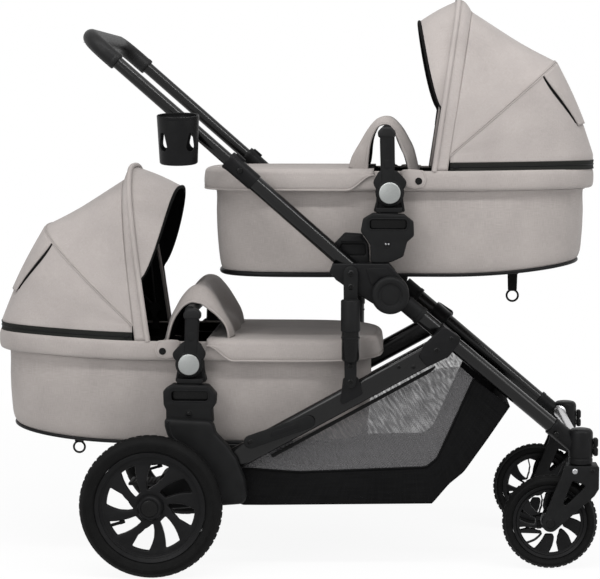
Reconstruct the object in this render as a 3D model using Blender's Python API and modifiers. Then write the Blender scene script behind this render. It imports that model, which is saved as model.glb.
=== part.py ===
"""Tandem pram with two carrycots: every piece as its own closed solid.

Metres, +Z up, +X towards the front wheels. The right side of the pram is at -Y.
The origin is on the ground under the middle of the pram.
"""

import math

import bmesh
import bpy
from mathutils import Matrix, Vector

# The gap that fixed neighbours keep.
GAP = 0.0003
RUNNING_GAP = 0.0005
# How far a cutter runs past the face that it opens, and a joined shape into its neighbour.
OVERSHOOT = 0.010
OVERLAP = 0.003
ROUND_SIDES = 16
PIN_SIDES = 14
RIGHT, LEFT = -1, 1
SIDES = ((RIGHT, "right"), (LEFT, "left"))

# Fold hub and front frame, as X and Z on the side view.
HUB = (0.198, 0.549)
HUB_DISC_RADIUS = 0.0365
HUB_DRUM_RADIUS = 0.036
HUB_PIN_RADIUS = 0.010
HUB_RECESS_RADIUS = 0.023
HUB_RECESS_DEPTH = 0.002
HUB_SOCKET_LENGTH = 0.030
HUB_DRUM_OUT = (0.198, 0.2303)
HUB_DISC_OUT = (0.2545, 0.270)
FRONT_TUBE_RADIUS = 0.015
FRONT_TUBE_TOP = (0.2085, 0.545)
FRONT_TUBE_SOCKET = (0.5158, 0.2868)
FRONT_TUBE_OUT_AT_HUB = 0.215
FRONT_TUBE_OUT_AT_CASTER = 0.185
FRONT_SOCKET_RADIUS = 0.0185
FRONT_SOCKET_DEPTH = 0.028
CASTER_SOCKET_LENGTH = 0.062

# Casters.
CASTER_AXIS_X = 0.574
CASTER_OUT = 0.185
CASTER_BARREL_RADIUS = 0.0237
CASTER_BARREL_Z = (0.2105, 0.2815)
CASTER_STEM_RADIUS = 0.009
CASTER_STEM_TOP = 0.2625
FRONT_AXLE = (0.5145, 0.094)
FRONT_WHEEL_RADIUS = 0.094
FRONT_RIM_RADIUS = 0.0735
FRONT_TYRE_WIDTH = 0.034
FRONT_HUB_RADIUS = 0.017
FORK_PLATE_THICKNESS = 0.007
FORK_CLEARANCE = 0.0025
FORK_TOP = 0.2092
FORK_FRONT_X = 0.6085
FORK_END_RADIUS = 0.0165
FORK_PIN_RADIUS = 0.005
CROSS_TUBE_RADIUS = 0.010
CROSS_TUBE_AT = (0.560, 0.262)
LOCK_LEVER_X = (0.5980, 0.6080)
LOCK_LEVER_Z = (0.226, 0.262)
LOCK_LEVER_WIDTH = 0.018

# Rear wheels and axle.
REAR_AXLE = (-0.264, 0.140)
REAR_WHEEL_RADIUS = 0.140
REAR_RIM_RADIUS = 0.108
REAR_WHEEL_OUT = 0.3045
REAR_TYRE_WIDTH = 0.047
REAR_HUB_RADIUS = 0.027
AXLE_TUBE_RADIUS = 0.011
SPINDLE_RADIUS = 0.006
SPINDLE_END_OUT = 0.318
TYRE_STEPS = 24
TYRE_SHOULDER = 0.007
RIM_WEB = 0.013
RIM_RING_DEPTH = 0.008
RIM_LIP = 0.003
REAR_WINDOW_RADII = (0.0344, 0.0862)
FRONT_WINDOW_RADII = (0.0288, 0.0640)
FRONT_WINDOW_PHASE = -46.0
# Share of the way from the inner radius to the outer, then the angles of the two edges.
PETAL_WINDOW = ((0.0, 94, 99), (0.2, 76, 99), (0.5, 66.5, 96), (1.0, 64.5, 87.5))
STRAIGHT_WINDOW = ((0.0, 32.5, 58.5), (1.0, 20, 41))

# Rear leg, its pivot on the front tube and the bracket behind it.
LEG_PIVOT = (0.288, 0.441)
LEG_ANGLE = math.radians(29.0)
LEG_LENGTH = 0.475
LEG_HEIGHT = 0.043
LEG_POCKET_DEPTH = 0.080
LEG_OUT = (0.2253, 0.2457)
LEG_PIN_RADIUS = 0.006
LEG_CLAMP_SHARE = 0.31
LEG_CLAMP_LENGTH = 0.040
LEG_WEB_HEIGHT = 0.0165
PIVOT_PLATE_OUT = (0.246, 0.256)
REAR_BRACKET_OUT = (0.226, 0.262)
STRUT_FOOT_PLATE_OUT = 0.2537

# Side strut.
STRUT_TOP = (0.1215, 0.591)
STRUT_FOOT = (0.1215, 0.380)
STRUT_LUG_OUT = (0.2543, 0.266)
STRUT_LUG_WIDTH = 0.0285
STRUT_SLEEVE_RADIUS = 0.0187
STRUT_SLEEVE_OUT = 0.2735
STRUT_SLEEVE_Z = (0.4225, 0.5415)
STRUT_WAIST_Z = 0.480

# Handle: a straight line on the side view that rises towards the back.
HANDLE_OUT = 0.230
HANDLE_FOOT = (0.1094, 0.6107)
HANDLE_ANGLE = math.radians(41.2)
INNER_TUBE_RADIUS = 0.0125
OUTER_TUBE_RADIUS = 0.0155
OUTER_TUBE_SPAN = (-0.040, 0.3025)
INNER_TUBE_START = 0.170
COLLAR_START = 0.2325
COLLAR_RADIUS = 0.0193
COLLAR_BUTTON_AT = 0.2698
COLLAR_BUTTON_RADIUS = 0.006
COLLAR_BUTTON_OUT = (0.2470, 0.252)
COLLAR_BUTTON_TRAVEL = 0.002
HANDLE_LENGTH = 0.6625
HANDLE_CORNER_RADIUS = 0.050
GRIP_RADIUS = 0.0162
GRIP_START = 0.591

# Cup holder.
CUP_AT = (-0.208, -0.2886)
CUP_Z = (0.803, 0.896)
CUP_RIM_RADIUS = 0.0388
CUP_FLOOR_RADIUS = 0.031
CUP_WALL = 0.0025
CUP_LIP = 0.004
CUP_WEB_DEPTH = 0.005
CUP_WINDOW_HEIGHT = 0.039
CUP_WINDOW_WIDTH = 0.018
CUP_CLAMP_AT = 0.405
CUP_CLAMP_LENGTH = 0.024
CUP_CLAMP_RADIUS = 0.0172

# Knuckle block, its plain socket and the adapter above it.
BLOCK_OUT = (0.208, 0.254)
BLOCK_TOP = 0.6095
KNUCKLE_RADIUS = 0.033
KNUCKLE_CLEARANCE = 0.0015
KNUCKLE_OUT = 0.2308
PLAIN_SOCKET_OUT = (0.2065, 0.2142)
ADAPTER_OUT = (0.208, 0.248)

# Carrycot: u runs from the hub towards the head, z up from the hub.
UPPER_COT_HUB = (0.196, 0.745)
LOWER_COT_HUB = (-0.196, 0.408)
COT_WALL = 0.007
COT_BODY_HALF_WIDTH = 0.180
COT_BODY_HEAD = 0.389
COT_BODY_FOOT = -0.353
COT_RIM_HALF_WIDTH = 0.1945
COT_RIM_HEAD = 0.4085
COT_RIM_FOOT = -0.3715
COT_RIM_TOP = 0.044
COT_RIM_BOTTOM = 0.003
COT_FLOOR = -0.165
COT_FLOOR_RISE = 0.024
COT_FLOOR_RISE_U = (0.10, 0.38)
COT_PLAN_POWER = 3.0
COT_HEAD_STRAIGHT = 0.1165
COT_FOOT_STRAIGHT = -0.170
COT_PLAN_STEPS = 6
COT_PLAN_START = 8
COT_BRACKET_OUT = (0.174, 0.212)
COT_BRACKET_U = (-0.027, 0.0245)
COT_BRACKET_Z = (-0.0375, 0.034)
COT_BOSS_RADIUS = 0.028
COT_NECK_OUT = (0.206, 0.2345)
COT_NECK_U = (-0.0265, 0.0240)
COT_NECK_Z = (-0.0378, -0.0285)
COT_TONGUE_OUT = (0.223, 0.233)
COT_TONGUE_U = (-0.018, 0.016)
COT_TONGUE_Z = (-0.073, -0.030)
COT_PIN_RADIUS = 0.007
COT_PIN_END_OUT = 0.229
MATTRESS_THICKNESS = 0.035
MATTRESS_INSET = 0.022
MATTRESS_EDGE = 0.010
APRON_THICKNESS = 0.003
APRON_HEAD_EDGE = -0.0315
APRON_CROWN = 0.004
APRON_CORNER_RISE = 0.026

# Hood: bow crowns measured from the hood pivot, u towards the head and z up.
HOOD_PIVOT = (0.1165, 0.0716)
HOOD_HALF_WIDTH = 0.190
HOOD_REAR = (0.296, 0.0)
HOOD_MIDDLE = (0.2117, 0.1888)
HOOD_BAND_REAR = (0.0457, 0.2866)
HOOD_BAND_FRONT = (0.0171, 0.311)
HOOD_VISOR = (-0.065, 0.269)
HOOD_BAND_FOOT_DROP = 0.0262
HOOD_BAND_FOOT_REAR = -0.0052
HOOD_BAND_FOOT_FRONT = -0.033
HOOD_CLOTH = 0.0025
HOOD_BULGE = 0.005
HOOD_SEAM_SHARE = 0.004
HOOD_FOOT_ANGLE = 0.012
HOOD_BAND_CLOTH = 0.003
HOOD_STEPS = 12
BOW_RADIUS = 0.003
MIDDLE_BOW_HALF_WIDTH = 0.183
FRONT_BOW_HALF_WIDTH = 0.1765
HOOD_EAR_OUT = (0.1665, 0.173)
HOOD_EAR_FOOT_OUT = (0.1675, 0.189)
HOOD_EAR_HALF = 0.010
COT_EAR_FOOT = (0.0265, 0.040)

# Carry handle and the cloth flap drawn over it.
CARRY_TOP = (-0.0115, 0.1345)
CARRY_ARM_OUT = (0.2143, 0.2340)
CARRY_ARM_WIDTH = 0.028
CARRY_ARM_FOOT = 0.010
CARRY_ARM_TOP = 0.1385
CARRY_HUB_RADIUS = 0.0268
CARRY_CAP_RADIUS = 0.021
CARRY_CAP_OUT = 0.2375
CARRY_BAR_RADIUS = 0.0115
FLAP_HALF_WIDTH = 0.168
FLAP_THICKNESS = 0.004
FLAP_FOLD_DEPTH = 0.004
FLAP_FOLDS = 3.5
FLAP_COLUMNS = 14
TAB_AT = (0.240, -0.041, -0.166)
TAB_WIDTH = 0.016
TAB_THICKNESS = 0.0044
TAB_LENGTH = 0.028
TAB_RING_DROP = 0.034
RING_RADIUS = 0.0115
RING_WIRE = 0.0015

# Basket, as half widths at its back and front.
BASKET_WALL = 0.003
BASKET_X = (-0.068, 0.433)
BASKET_HALF_WIDTH_BACK = 0.2247
BASKET_HALF_WIDTH_FRONT = 0.1945
BASKET_RAIL_SHARES = (0.7306, 0.402)

# Brake pedal on the axle tube.
PEDAL_WIDTH = 0.070
PEDAL_END_X = -0.345
PEDAL_THICKNESS = 0.006
PEDAL_WALL = 0.005


def remove_scene_objects():
    """Empty the scene before the pram is built."""
    for scene_object in list(bpy.data.objects):
        bpy.data.objects.remove(scene_object, do_unlink=True)


def new_collection(name):
    """Add a collection to the scene."""
    collection = bpy.data.collections.new(name)
    bpy.context.scene.collection.children.link(collection)
    return collection


remove_scene_objects()
PRAM = new_collection("tandem_pram")
CUTTERS = new_collection("cutters")
JOINT_EMPTIES = {}


def new_material(name, colour, roughness, metallic=0.0):
    """Make a Principled material."""
    made = bpy.data.materials.new(name)
    made.use_nodes = True
    shader = made.node_tree.nodes["Principled BSDF"]
    shader.inputs["Base Color"].default_value = (*colour, 1.0)
    shader.inputs["Roughness"].default_value = roughness
    shader.inputs["Metallic"].default_value = metallic
    return made


TUBE_BLACK = new_material("tube_black", (0.012, 0.012, 0.013), 0.25, 0.6)
PLASTIC_BLACK = new_material("plastic_black", (0.018, 0.018, 0.019), 0.5)
TYRE_RUBBER = new_material("tyre_rubber", (0.02, 0.02, 0.02), 0.8)
GRIP_LEATHER = new_material("grip_leather", (0.03, 0.03, 0.031), 0.6)
COT_FABRIC = new_material("cot_fabric", (0.33, 0.29, 0.265), 0.9)
BLACK_FABRIC = new_material("black_fabric", (0.02, 0.02, 0.021), 0.9)
MATTRESS_FABRIC = new_material("mattress_fabric", (0.75, 0.74, 0.72), 0.9)
CROSS_TUBE_SILVER = new_material("cross_tube_silver", (0.5, 0.5, 0.51), 0.35, 0.9)
BOW_STEEL = new_material("bow_steel", (0.2, 0.2, 0.2), 0.4, 0.9)


def joint_empty(name, location):
    """Put an empty on a joint's axis for its moving pieces to hang from."""
    empty = bpy.data.objects.new(f"{name}_axis", None)
    empty.location = location
    empty.empty_display_size = 0.03
    bpy.context.scene.collection.objects.link(empty)
    bpy.context.view_layer.update()
    JOINT_EMPTIES[name] = empty


def keep(piece, name, material, joint=None):
    """Name a finished piece, give it its material and hang it from its joint's empty."""
    piece.name = name
    piece.data.name = name
    piece.data.materials.clear()
    piece.data.materials.append(material)
    piece.data.shade_smooth()
    piece.data.set_sharp_from_angle(angle=math.radians(35))
    if joint:
        empty = JOINT_EMPTIES[joint]
        piece.parent = empty
        piece.matrix_parent_inverse = empty.matrix_world.inverted()
    return piece


def object_from_bmesh(shape, name="shape"):
    """Turn a bmesh into an object in the pram's collection."""
    mesh = bpy.data.meshes.new(name)
    shape.to_mesh(mesh)
    shape.free()
    made = bpy.data.objects.new(name, mesh)
    PRAM.objects.link(made)
    return made


def make_cutter(tool):
    """Move a Boolean's tool out of the pram."""
    PRAM.objects.unlink(tool)
    CUTTERS.objects.link(tool)
    tool.display_type = "WIRE"
    tool.hide_render = True


def combine(base, tools, operation):
    """Add one Boolean modifier for each tool."""
    for tool in tools:
        make_cutter(tool)
        modifier = base.modifiers.new(operation.lower(), "BOOLEAN")
        modifier.operation = operation
        modifier.object = tool
    return base


def join(base, *tools):
    """Union the tools with the base."""
    return combine(base, tools, "UNION")


def cut(base, *tools):
    """Cut the tools out of the base."""
    return combine(base, tools, "DIFFERENCE")


def box(x_span, y_span, z_span):
    """A box between three pairs of coordinates."""
    shape = bmesh.new()
    size = Vector((x_span[1] - x_span[0], y_span[1] - y_span[0], z_span[1] - z_span[0]))
    centre = Vector((sum(x_span), sum(y_span), sum(z_span))) / 2
    bmesh.ops.create_cube(shape, size=1.0, matrix=Matrix.Translation(centre) @ Matrix.Diagonal((*size, 1)))
    return object_from_bmesh(shape)


def rod(start, end, radius, sides=12):
    """A cylinder between two points."""
    start, end = Vector(start), Vector(end)
    along = end - start
    turn = along.to_track_quat("Z", "Y").to_matrix().to_4x4()
    shape = bmesh.new()
    bmesh.ops.create_cone(
        shape,
        cap_ends=True,
        segments=sides,
        radius1=radius,
        radius2=radius,
        depth=along.length,
        matrix=Matrix.Translation((start + end) / 2) @ turn,
    )
    return object_from_bmesh(shape)


def span_out(side, out):
    """The Y span of two distances from the middle plane, on one side."""
    return tuple(sorted((side * out[0], side * out[1])))


def pin(side, at, out, radius, sides=12):
    """A cylinder across the pram at X and Z, between two distances from the middle plane."""
    low, high = span_out(side, out)
    return rod((at[0], low, at[1]), (at[0], high, at[1]), radius, sides)


def rounded(corners, radius, steps=3):
    """Replace each corner of an outline by an arc."""
    points = []
    for index, corner in enumerate(corners):
        corner = Vector(corner)
        before = Vector(corners[index - 1]) - corner
        after = Vector(corners[(index + 1) % len(corners)]) - corner
        half_angle = before.angle(after) / 2
        reach = min(radius / math.tan(half_angle), 0.45 * before.length, 0.45 * after.length)
        arc_radius = reach * math.tan(half_angle)
        centre = corner + (before.normalized() + after.normalized()).normalized() * (
            arc_radius / math.sin(half_angle)
        )
        first = corner + before.normalized() * reach - centre
        last = corner + after.normalized() * reach - centre
        turn = first.angle_signed(last)
        for step in range(steps + 1):
            angle = -turn * step / steps
            arm = Matrix.Rotation(angle, 2) @ first
            points.append(tuple(centre + arm))
    return points


def arc(centre, radius, start_degrees, end_degrees, steps):
    """Points along an arc on the side view, counter-clockwise angles seen from the right."""
    points = []
    for step in range(steps + 1):
        angle = math.radians(start_degrees + (end_degrees - start_degrees) * step / steps)
        points.append((centre[0] + radius * math.cos(angle), centre[1] + radius * math.sin(angle)))
    return points


def plate(outlines, side, out):
    """A side-view outline, with its windows, as thick as two distances from the middle plane."""
    low, high = span_out(side, out)
    curve = bpy.data.curves.new("outline", "CURVE")
    curve.dimensions = "2D"
    curve.fill_mode = "BOTH"
    curve.extrude = (high - low) / 2
    for outline in outlines:
        spline = curve.splines.new("POLY")
        spline.points.add(len(outline) - 1)
        for point, (x, z) in zip(spline.points, outline):
            point.co = (x, z, 0, 1)
        spline.use_cyclic_u = True
    guide = bpy.data.objects.new("outline", curve)
    guide.location = (0, (low + high) / 2, 0)
    guide.rotation_euler = (math.radians(90), 0, 0)
    PRAM.objects.link(guide)
    return mesh_from_curve(guide)


def mesh_from_curve(guide):
    """Make a curve object into a welded mesh object, so that it can be cut."""
    bpy.context.view_layer.update()
    evaluated = guide.evaluated_get(bpy.context.evaluated_depsgraph_get())
    mesh = bpy.data.meshes.new_from_object(evaluated)
    shape = bmesh.new()
    shape.from_mesh(mesh)
    bmesh.ops.remove_doubles(shape, verts=shape.verts, dist=1e-5)
    shape.transform(guide.matrix_world)
    bpy.data.objects.remove(guide, do_unlink=True)
    return object_from_bmesh(shape)


def bent_tube(points, radius, bevel_resolution=2):
    """A round tube along a line of points."""
    curve = bpy.data.curves.new("tube", "CURVE")
    curve.dimensions = "3D"
    curve.bevel_depth = radius
    curve.bevel_resolution = bevel_resolution
    curve.use_fill_caps = True
    spline = curve.splines.new("POLY")
    spline.points.add(len(points) - 1)
    for point, place in zip(spline.points, points):
        point.co = (*place, 1)
    guide = bpy.data.objects.new("tube", curve)
    PRAM.objects.link(guide)
    return mesh_from_curve(guide)


def turned(profile, origin, axis, steps, closed=False):
    """A profile of radii and heights turned about an axis; it runs down its outer side."""
    mesh = bpy.data.meshes.new("profile")
    edges = [(index, index + 1) for index in range(len(profile) - 1)]
    if closed:
        edges.append((len(profile) - 1, 0))
    mesh.from_pydata([(radius, 0, height) for radius, height in profile], edges, [])
    made = bpy.data.objects.new("turned", mesh)
    made.location = origin
    made.rotation_mode = "QUATERNION"
    made.rotation_quaternion = Vector(axis).to_track_quat("Z", "Y")
    PRAM.objects.link(made)
    screw = made.modifiers.new("turn", "SCREW")
    screw.steps = steps
    screw.render_steps = steps
    screw.use_merge_vertices = True
    screw.merge_threshold = 1e-6
    screw.use_smooth_shade = True
    return made


def loft(rows, closed_rows=False, close_ends=False):
    """A grid of faces through rows of points."""
    shape = bmesh.new()
    grid = [[shape.verts.new(point) for point in row] for row in rows]
    count = len(rows[0])
    for upper, lower in zip(grid, grid[1:]):
        for index in range(count if closed_rows else count - 1):
            following = (index + 1) % count
            shape.faces.new((upper[index], upper[following], lower[following], lower[index]))
    if close_ends:
        for ring in (grid[0], grid[-1]):
            fill_ring(shape, ring)
    bmesh.ops.remove_doubles(shape, verts=shape.verts, dist=1e-6)
    bmesh.ops.recalc_face_normals(shape, faces=shape.faces)
    return shape


def fill_ring(shape, ring):
    """Close a ring that is symmetric about the middle plane with strips across it."""
    last = len(ring) - 1
    for index in range(len(ring) // 2):
        corners = (ring[index], ring[index + 1], ring[last - index - 1], ring[last - index])
        different = list(dict.fromkeys(corners))
        if len(different) > 2:
            shape.faces.new(different)


def thicken(piece, thickness, inwards=True):
    """Give an open surface a wall."""
    solidify = piece.modifiers.new("wall", "SOLIDIFY")
    solidify.thickness = thickness
    solidify.offset = -1 if inwards else 1
    solidify.use_even_offset = True
    return piece


def lerp(first, last, share):
    """A point between two points."""
    return tuple(a + (b - a) * share for a, b in zip(first, last))


def handle_point(along, out=0.0, side=RIGHT):
    """A point on the handle's line, measured from its foot."""
    x = HANDLE_FOOT[0] - along * math.cos(HANDLE_ANGLE)
    z = HANDLE_FOOT[1] + along * math.sin(HANDLE_ANGLE)
    return Vector((x, side * out, z))


def leg_point(along, across=0.0):
    """A point on the rear leg, back from its pivot and up across it."""
    x = LEG_PIVOT[0] - along * math.cos(LEG_ANGLE) - across * math.sin(LEG_ANGLE)
    z = LEG_PIVOT[1] - along * math.sin(LEG_ANGLE) + across * math.cos(LEG_ANGLE)
    return (x, z)


def front_tube_point(share, side):
    """A point on the front tube's axis, from the hub to the mouth of the caster socket."""
    x, z = lerp(FRONT_TUBE_TOP, FRONT_TUBE_SOCKET, share)
    out = FRONT_TUBE_OUT_AT_HUB + (FRONT_TUBE_OUT_AT_CASTER - FRONT_TUBE_OUT_AT_HUB) * share
    return Vector((x, side * out, z))


def front_tube_axis(side):
    """The direction of the front tube, down to the caster."""
    return (front_tube_point(1, side) - front_tube_point(0, side)).normalized()


def make_front_tube(side, word):
    """The straight tube from the fold hub to the caster housing."""
    end = front_tube_point(1, side) + front_tube_axis(side) * (FRONT_SOCKET_DEPTH - RUNNING_GAP)
    start = front_tube_point(0, side) + front_tube_axis(side) * HUB_DRUM_RADIUS
    keep(rod(start, end, FRONT_TUBE_RADIUS), f"front_tube_{word}", TUBE_BLACK)


def make_hub_housing(side, word):
    """Drum, pin and outer disc round the fold axis, with the socket of the front tube."""
    axis = front_tube_axis(side)
    socket_start = front_tube_point(0, side)
    socket_end = socket_start + axis * (HUB_DRUM_RADIUS + HUB_SOCKET_LENGTH)
    housing = pin(side, HUB, HUB_DRUM_OUT, HUB_DRUM_RADIUS, ROUND_SIDES)
    join(housing, rod(socket_start, socket_end, FRONT_SOCKET_RADIUS))
    bore_start = socket_start + axis * (HUB_DRUM_RADIUS - GAP)
    knuckle_space = (HUB_DRUM_OUT[1], HUB_DISC_OUT[0])
    cut(
        housing,
        pin(side, HUB, knuckle_space, KNUCKLE_RADIUS + KNUCKLE_CLEARANCE, ROUND_SIDES),
        rod(bore_start, socket_end + axis * OVERSHOOT, FRONT_TUBE_RADIUS + GAP),
    )
    join(
        housing,
        pin(side, HUB, (HUB_DRUM_OUT[1] - OVERLAP, HUB_DISC_OUT[0] + OVERLAP), HUB_PIN_RADIUS, PIN_SIDES),
        pin(side, HUB, HUB_DISC_OUT, HUB_DISC_RADIUS, ROUND_SIDES),
    )
    recess = (HUB_DISC_OUT[1] - HUB_RECESS_DEPTH, HUB_DISC_OUT[1] + OVERSHOOT)
    cut(housing, pin(side, HUB, recess, HUB_RECESS_RADIUS, ROUND_SIDES))
    keep(housing, f"hub_housing_{word}", PLASTIC_BLACK)


def make_leg_pivot_bracket(side, word):
    """Clamp on the front tube whose plate carries the rear leg's pin."""
    outline = [
        (0.3017, 0.4887), (0.335, 0.4664), (0.3313, 0.4553), (0.3113, 0.4290),
        (0.2689, 0.4082), (0.2540, 0.4304), (0.2632, 0.4529), (0.2851, 0.4735),
    ]
    bracket = plate([rounded(outline, 0.006, 2)], side, PIVOT_PLATE_OUT)
    middle = front_tube_point(LEG_CLAMP_SHARE, side)
    axis = front_tube_axis(side)
    half = LEG_CLAMP_LENGTH / 2
    join(bracket, rod(middle - axis * half, middle + axis * half, FRONT_SOCKET_RADIUS))
    along = Vector((axis.x, axis.z)).normalized()
    away = Vector((-along.y, along.x))
    centre = Vector((middle.x, middle.z))
    reach = along * (half - OVERLAP)
    rise = away * LEG_WEB_HEIGHT
    web = [centre - reach, centre + reach, centre + reach + rise, centre - reach + rise]
    pin_out = (LEG_OUT[0] + RUNNING_GAP, PIVOT_PLATE_OUT[0] + OVERLAP)
    join(
        bracket,
        plate([web], side, (abs(middle.y) - OVERLAP, PIVOT_PLATE_OUT[0] + OVERLAP)),
        pin(side, LEG_PIVOT, pin_out, LEG_PIN_RADIUS),
    )
    over = half + OVERSHOOT
    cut(bracket, rod(middle - axis * over, middle + axis * over, FRONT_TUBE_RADIUS + GAP))
    keep(bracket, f"leg_pivot_bracket_{word}", PLASTIC_BLACK)


def make_caster_housing(side, word):
    """Upright barrel of the caster's stem, with the front tube's socket."""
    low, high = CASTER_BARREL_Z
    radius = CASTER_BARREL_RADIUS
    profile = [(0, high), (radius * 0.7, high - 0.001), (radius, high - 0.007), (radius, low), (0, low)]
    place = Vector((CASTER_AXIS_X, side * CASTER_OUT, 0))
    housing = turned(profile, place, (0, 0, 1), ROUND_SIDES)
    axis = front_tube_axis(side)
    mouth = front_tube_point(1, side)
    join(housing, rod(mouth, mouth + axis * CASTER_SOCKET_LENGTH, FRONT_SOCKET_RADIUS))
    stem_low, stem_high = Vector((0, 0, low - OVERSHOOT)), Vector((0, 0, CASTER_STEM_TOP + RUNNING_GAP))
    cut(
        housing,
        rod(mouth - axis * OVERSHOOT, mouth + axis * FRONT_SOCKET_DEPTH, FRONT_TUBE_RADIUS + GAP),
        rod(place + stem_low, place + stem_high, CASTER_STEM_RADIUS + GAP, PIN_SIDES),
    )
    keep(housing, f"caster_housing_{word}", PLASTIC_BLACK)


def make_cross_tube():
    """Bright tube between the two caster housings."""
    end = CASTER_OUT - CASTER_BARREL_RADIUS + 0.0004
    x, z = CROSS_TUBE_AT
    keep(rod((x, -end, z), (x, end, z), CROSS_TUBE_RADIUS), "front_cross_tube", CROSS_TUBE_SILVER)


def make_swivel_lock(side, word):
    """Lever on the front of the caster housing."""
    half = LOCK_LEVER_WIDTH / 2
    y_span = (side * CASTER_OUT - half, side * CASTER_OUT + half)
    keep(box(LOCK_LEVER_X, y_span, LOCK_LEVER_Z), f"swivel_lock_{word}", PLASTIC_BLACK, f"swivel_lock_{word}")


def make_caster_fork(side, word):
    """Two V-shaped plates with their bridge, the axle pin and the swivel stem."""
    inner = FRONT_TYRE_WIDTH / 2 + FORK_CLEARANCE
    outer = inner + FORK_PLATE_THICKNESS
    x, z = FRONT_AXLE
    outline = [(0.5400, FORK_TOP), (FORK_FRONT_X, FORK_TOP), (FORK_FRONT_X, 0.1630), (0.6000, 0.1500)]
    outline += arc(FRONT_AXLE, FORK_END_RADIUS, -42, -190, 6)
    outline += [(0.5270, 0.1720), (0.5370, 0.1950)]
    window = rounded([(0.557, 0.181), (0.584, 0.170), (0.533, 0.119)], 0.003, 2)
    centre = side * CASTER_OUT
    fork = plate([outline, window], 1, (centre - outer, centre - inner))
    bridge = (centre - inner - OVERLAP, centre + inner + OVERLAP)
    stem = Vector((CASTER_AXIS_X, centre, FORK_TOP - OVERLAP))
    stem_top = Vector((CASTER_AXIS_X, centre, CASTER_STEM_TOP))
    join(
        fork,
        plate([outline, window], 1, (centre + inner, centre + outer)),
        box((0.546, FORK_FRONT_X - GAP), bridge, (0.1925, FORK_TOP - GAP)),
        box((0.6015, FORK_FRONT_X - GAP), bridge, (0.165, 0.200)),
        rod((x, bridge[0], z), (x, bridge[1], z), FORK_PIN_RADIUS),
        rod(stem, stem_top, CASTER_STEM_RADIUS, PIN_SIDES),
    )
    keep(fork, f"caster_fork_{word}", PLASTIC_BLACK, f"caster_{word}")


def wheel_windows(centre, radii, phase):
    """Eight openings between the twisted spokes: four petals and four straight ones."""
    windows = []
    for shape in (PETAL_WINDOW, STRAIGHT_WINDOW):
        for quarter in range(0, 360, 90):
            corners = [(share, first) for share, first, _ in shape]
            corners += [(share, last) for share, _, last in reversed(shape)]
            turn = quarter + phase
            windows.append([ring_point(centre, radii, share, angle + turn) for share, angle in corners])
    return windows


def ring_point(centre, radii, share, degrees):
    """X and Z of a point between two radii, at an angle."""
    radius = radii[0] + (radii[1] - radii[0]) * share
    angle = math.radians(degrees)
    return (centre[0] + radius * math.cos(angle), centre[1] + radius * math.sin(angle))


def make_wheel(name, side, centre, out, radius, rim_radius, tyre_width, hub, bore, windows, joint):
    """Rim with eight twisted spokes, and the tyre on it; hub and bore are a radius and a Y span."""
    half = tyre_width / 2
    x, z = centre
    place = (x, side * out, z)
    circle = arc(centre, rim_radius - RIM_RING_DEPTH / 2, 0, 345, 23)
    rim = plate([circle, *windows], side, (out - RIM_WEB / 2, out + RIM_WEB / 2))
    rim_half = half - TYRE_SHOULDER
    inner_half = rim_half - RIM_LIP
    ring = [
        (rim_radius, rim_half), (rim_radius, -rim_half),
        (rim_radius - RIM_RING_DEPTH, -inner_half), (rim_radius - RIM_RING_DEPTH, inner_half),
    ]
    join(rim, turned(ring, place, (0, 1, 0), TYRE_STEPS, closed=True))
    join(rim, pin(side, centre, hub[1], hub[0], PIN_SIDES))
    cut(rim, pin(side, centre, bore[1], bore[0]))
    word = dict(SIDES)[side]
    keep(rim, f"{name}_rim_{word}", PLASTIC_BLACK, joint)
    seat = rim_radius + GAP
    seat_half = rim_half + GAP
    wall_radius = radius - 1.8 * TYRE_SHOULDER
    tread_half = half - 1.5 * TYRE_SHOULDER
    profile = [
        (seat, seat_half), (wall_radius, half), (radius, tread_half),
        (radius, -tread_half), (wall_radius, -half), (seat, -seat_half),
    ]
    tyre = turned(profile, place, (0, 1, 0), TYRE_STEPS, closed=True)
    keep(tyre, f"{name}_tyre_{word}", TYRE_RUBBER, joint)


def make_front_wheel(side, word):
    """Front rim and tyre inside the fork."""
    half = FRONT_TYRE_WIDTH / 2 + FORK_CLEARANCE - RUNNING_GAP
    over = half + OVERSHOOT
    make_wheel(
        "front", side, FRONT_AXLE, CASTER_OUT, FRONT_WHEEL_RADIUS, FRONT_RIM_RADIUS, FRONT_TYRE_WIDTH,
        hub=(FRONT_HUB_RADIUS, (CASTER_OUT - half, CASTER_OUT + half)),
        bore=(FORK_PIN_RADIUS + GAP, (CASTER_OUT - over, CASTER_OUT + over)),
        windows=wheel_windows(FRONT_AXLE, FRONT_WINDOW_RADII, FRONT_WINDOW_PHASE),
        joint=f"front_wheel_{word}",
    )


def make_rear_wheel(side, word):
    """Rear rim and tyre on the bracket's spindle."""
    inner = REAR_BRACKET_OUT[1] + RUNNING_GAP
    outer = REAR_WHEEL_OUT + REAR_TYRE_WIDTH / 2 - 0.001
    make_wheel(
        "rear", side, REAR_AXLE, REAR_WHEEL_OUT, REAR_WHEEL_RADIUS, REAR_RIM_RADIUS, REAR_TYRE_WIDTH,
        hub=(REAR_HUB_RADIUS, (inner, outer)),
        bore=(SPINDLE_RADIUS + GAP, (inner - OVERSHOOT, SPINDLE_END_OUT + RUNNING_GAP)),
        windows=wheel_windows(REAR_AXLE, REAR_WINDOW_RADII, 0),
        joint=f"rear_wheel_{word}",
    )


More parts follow.
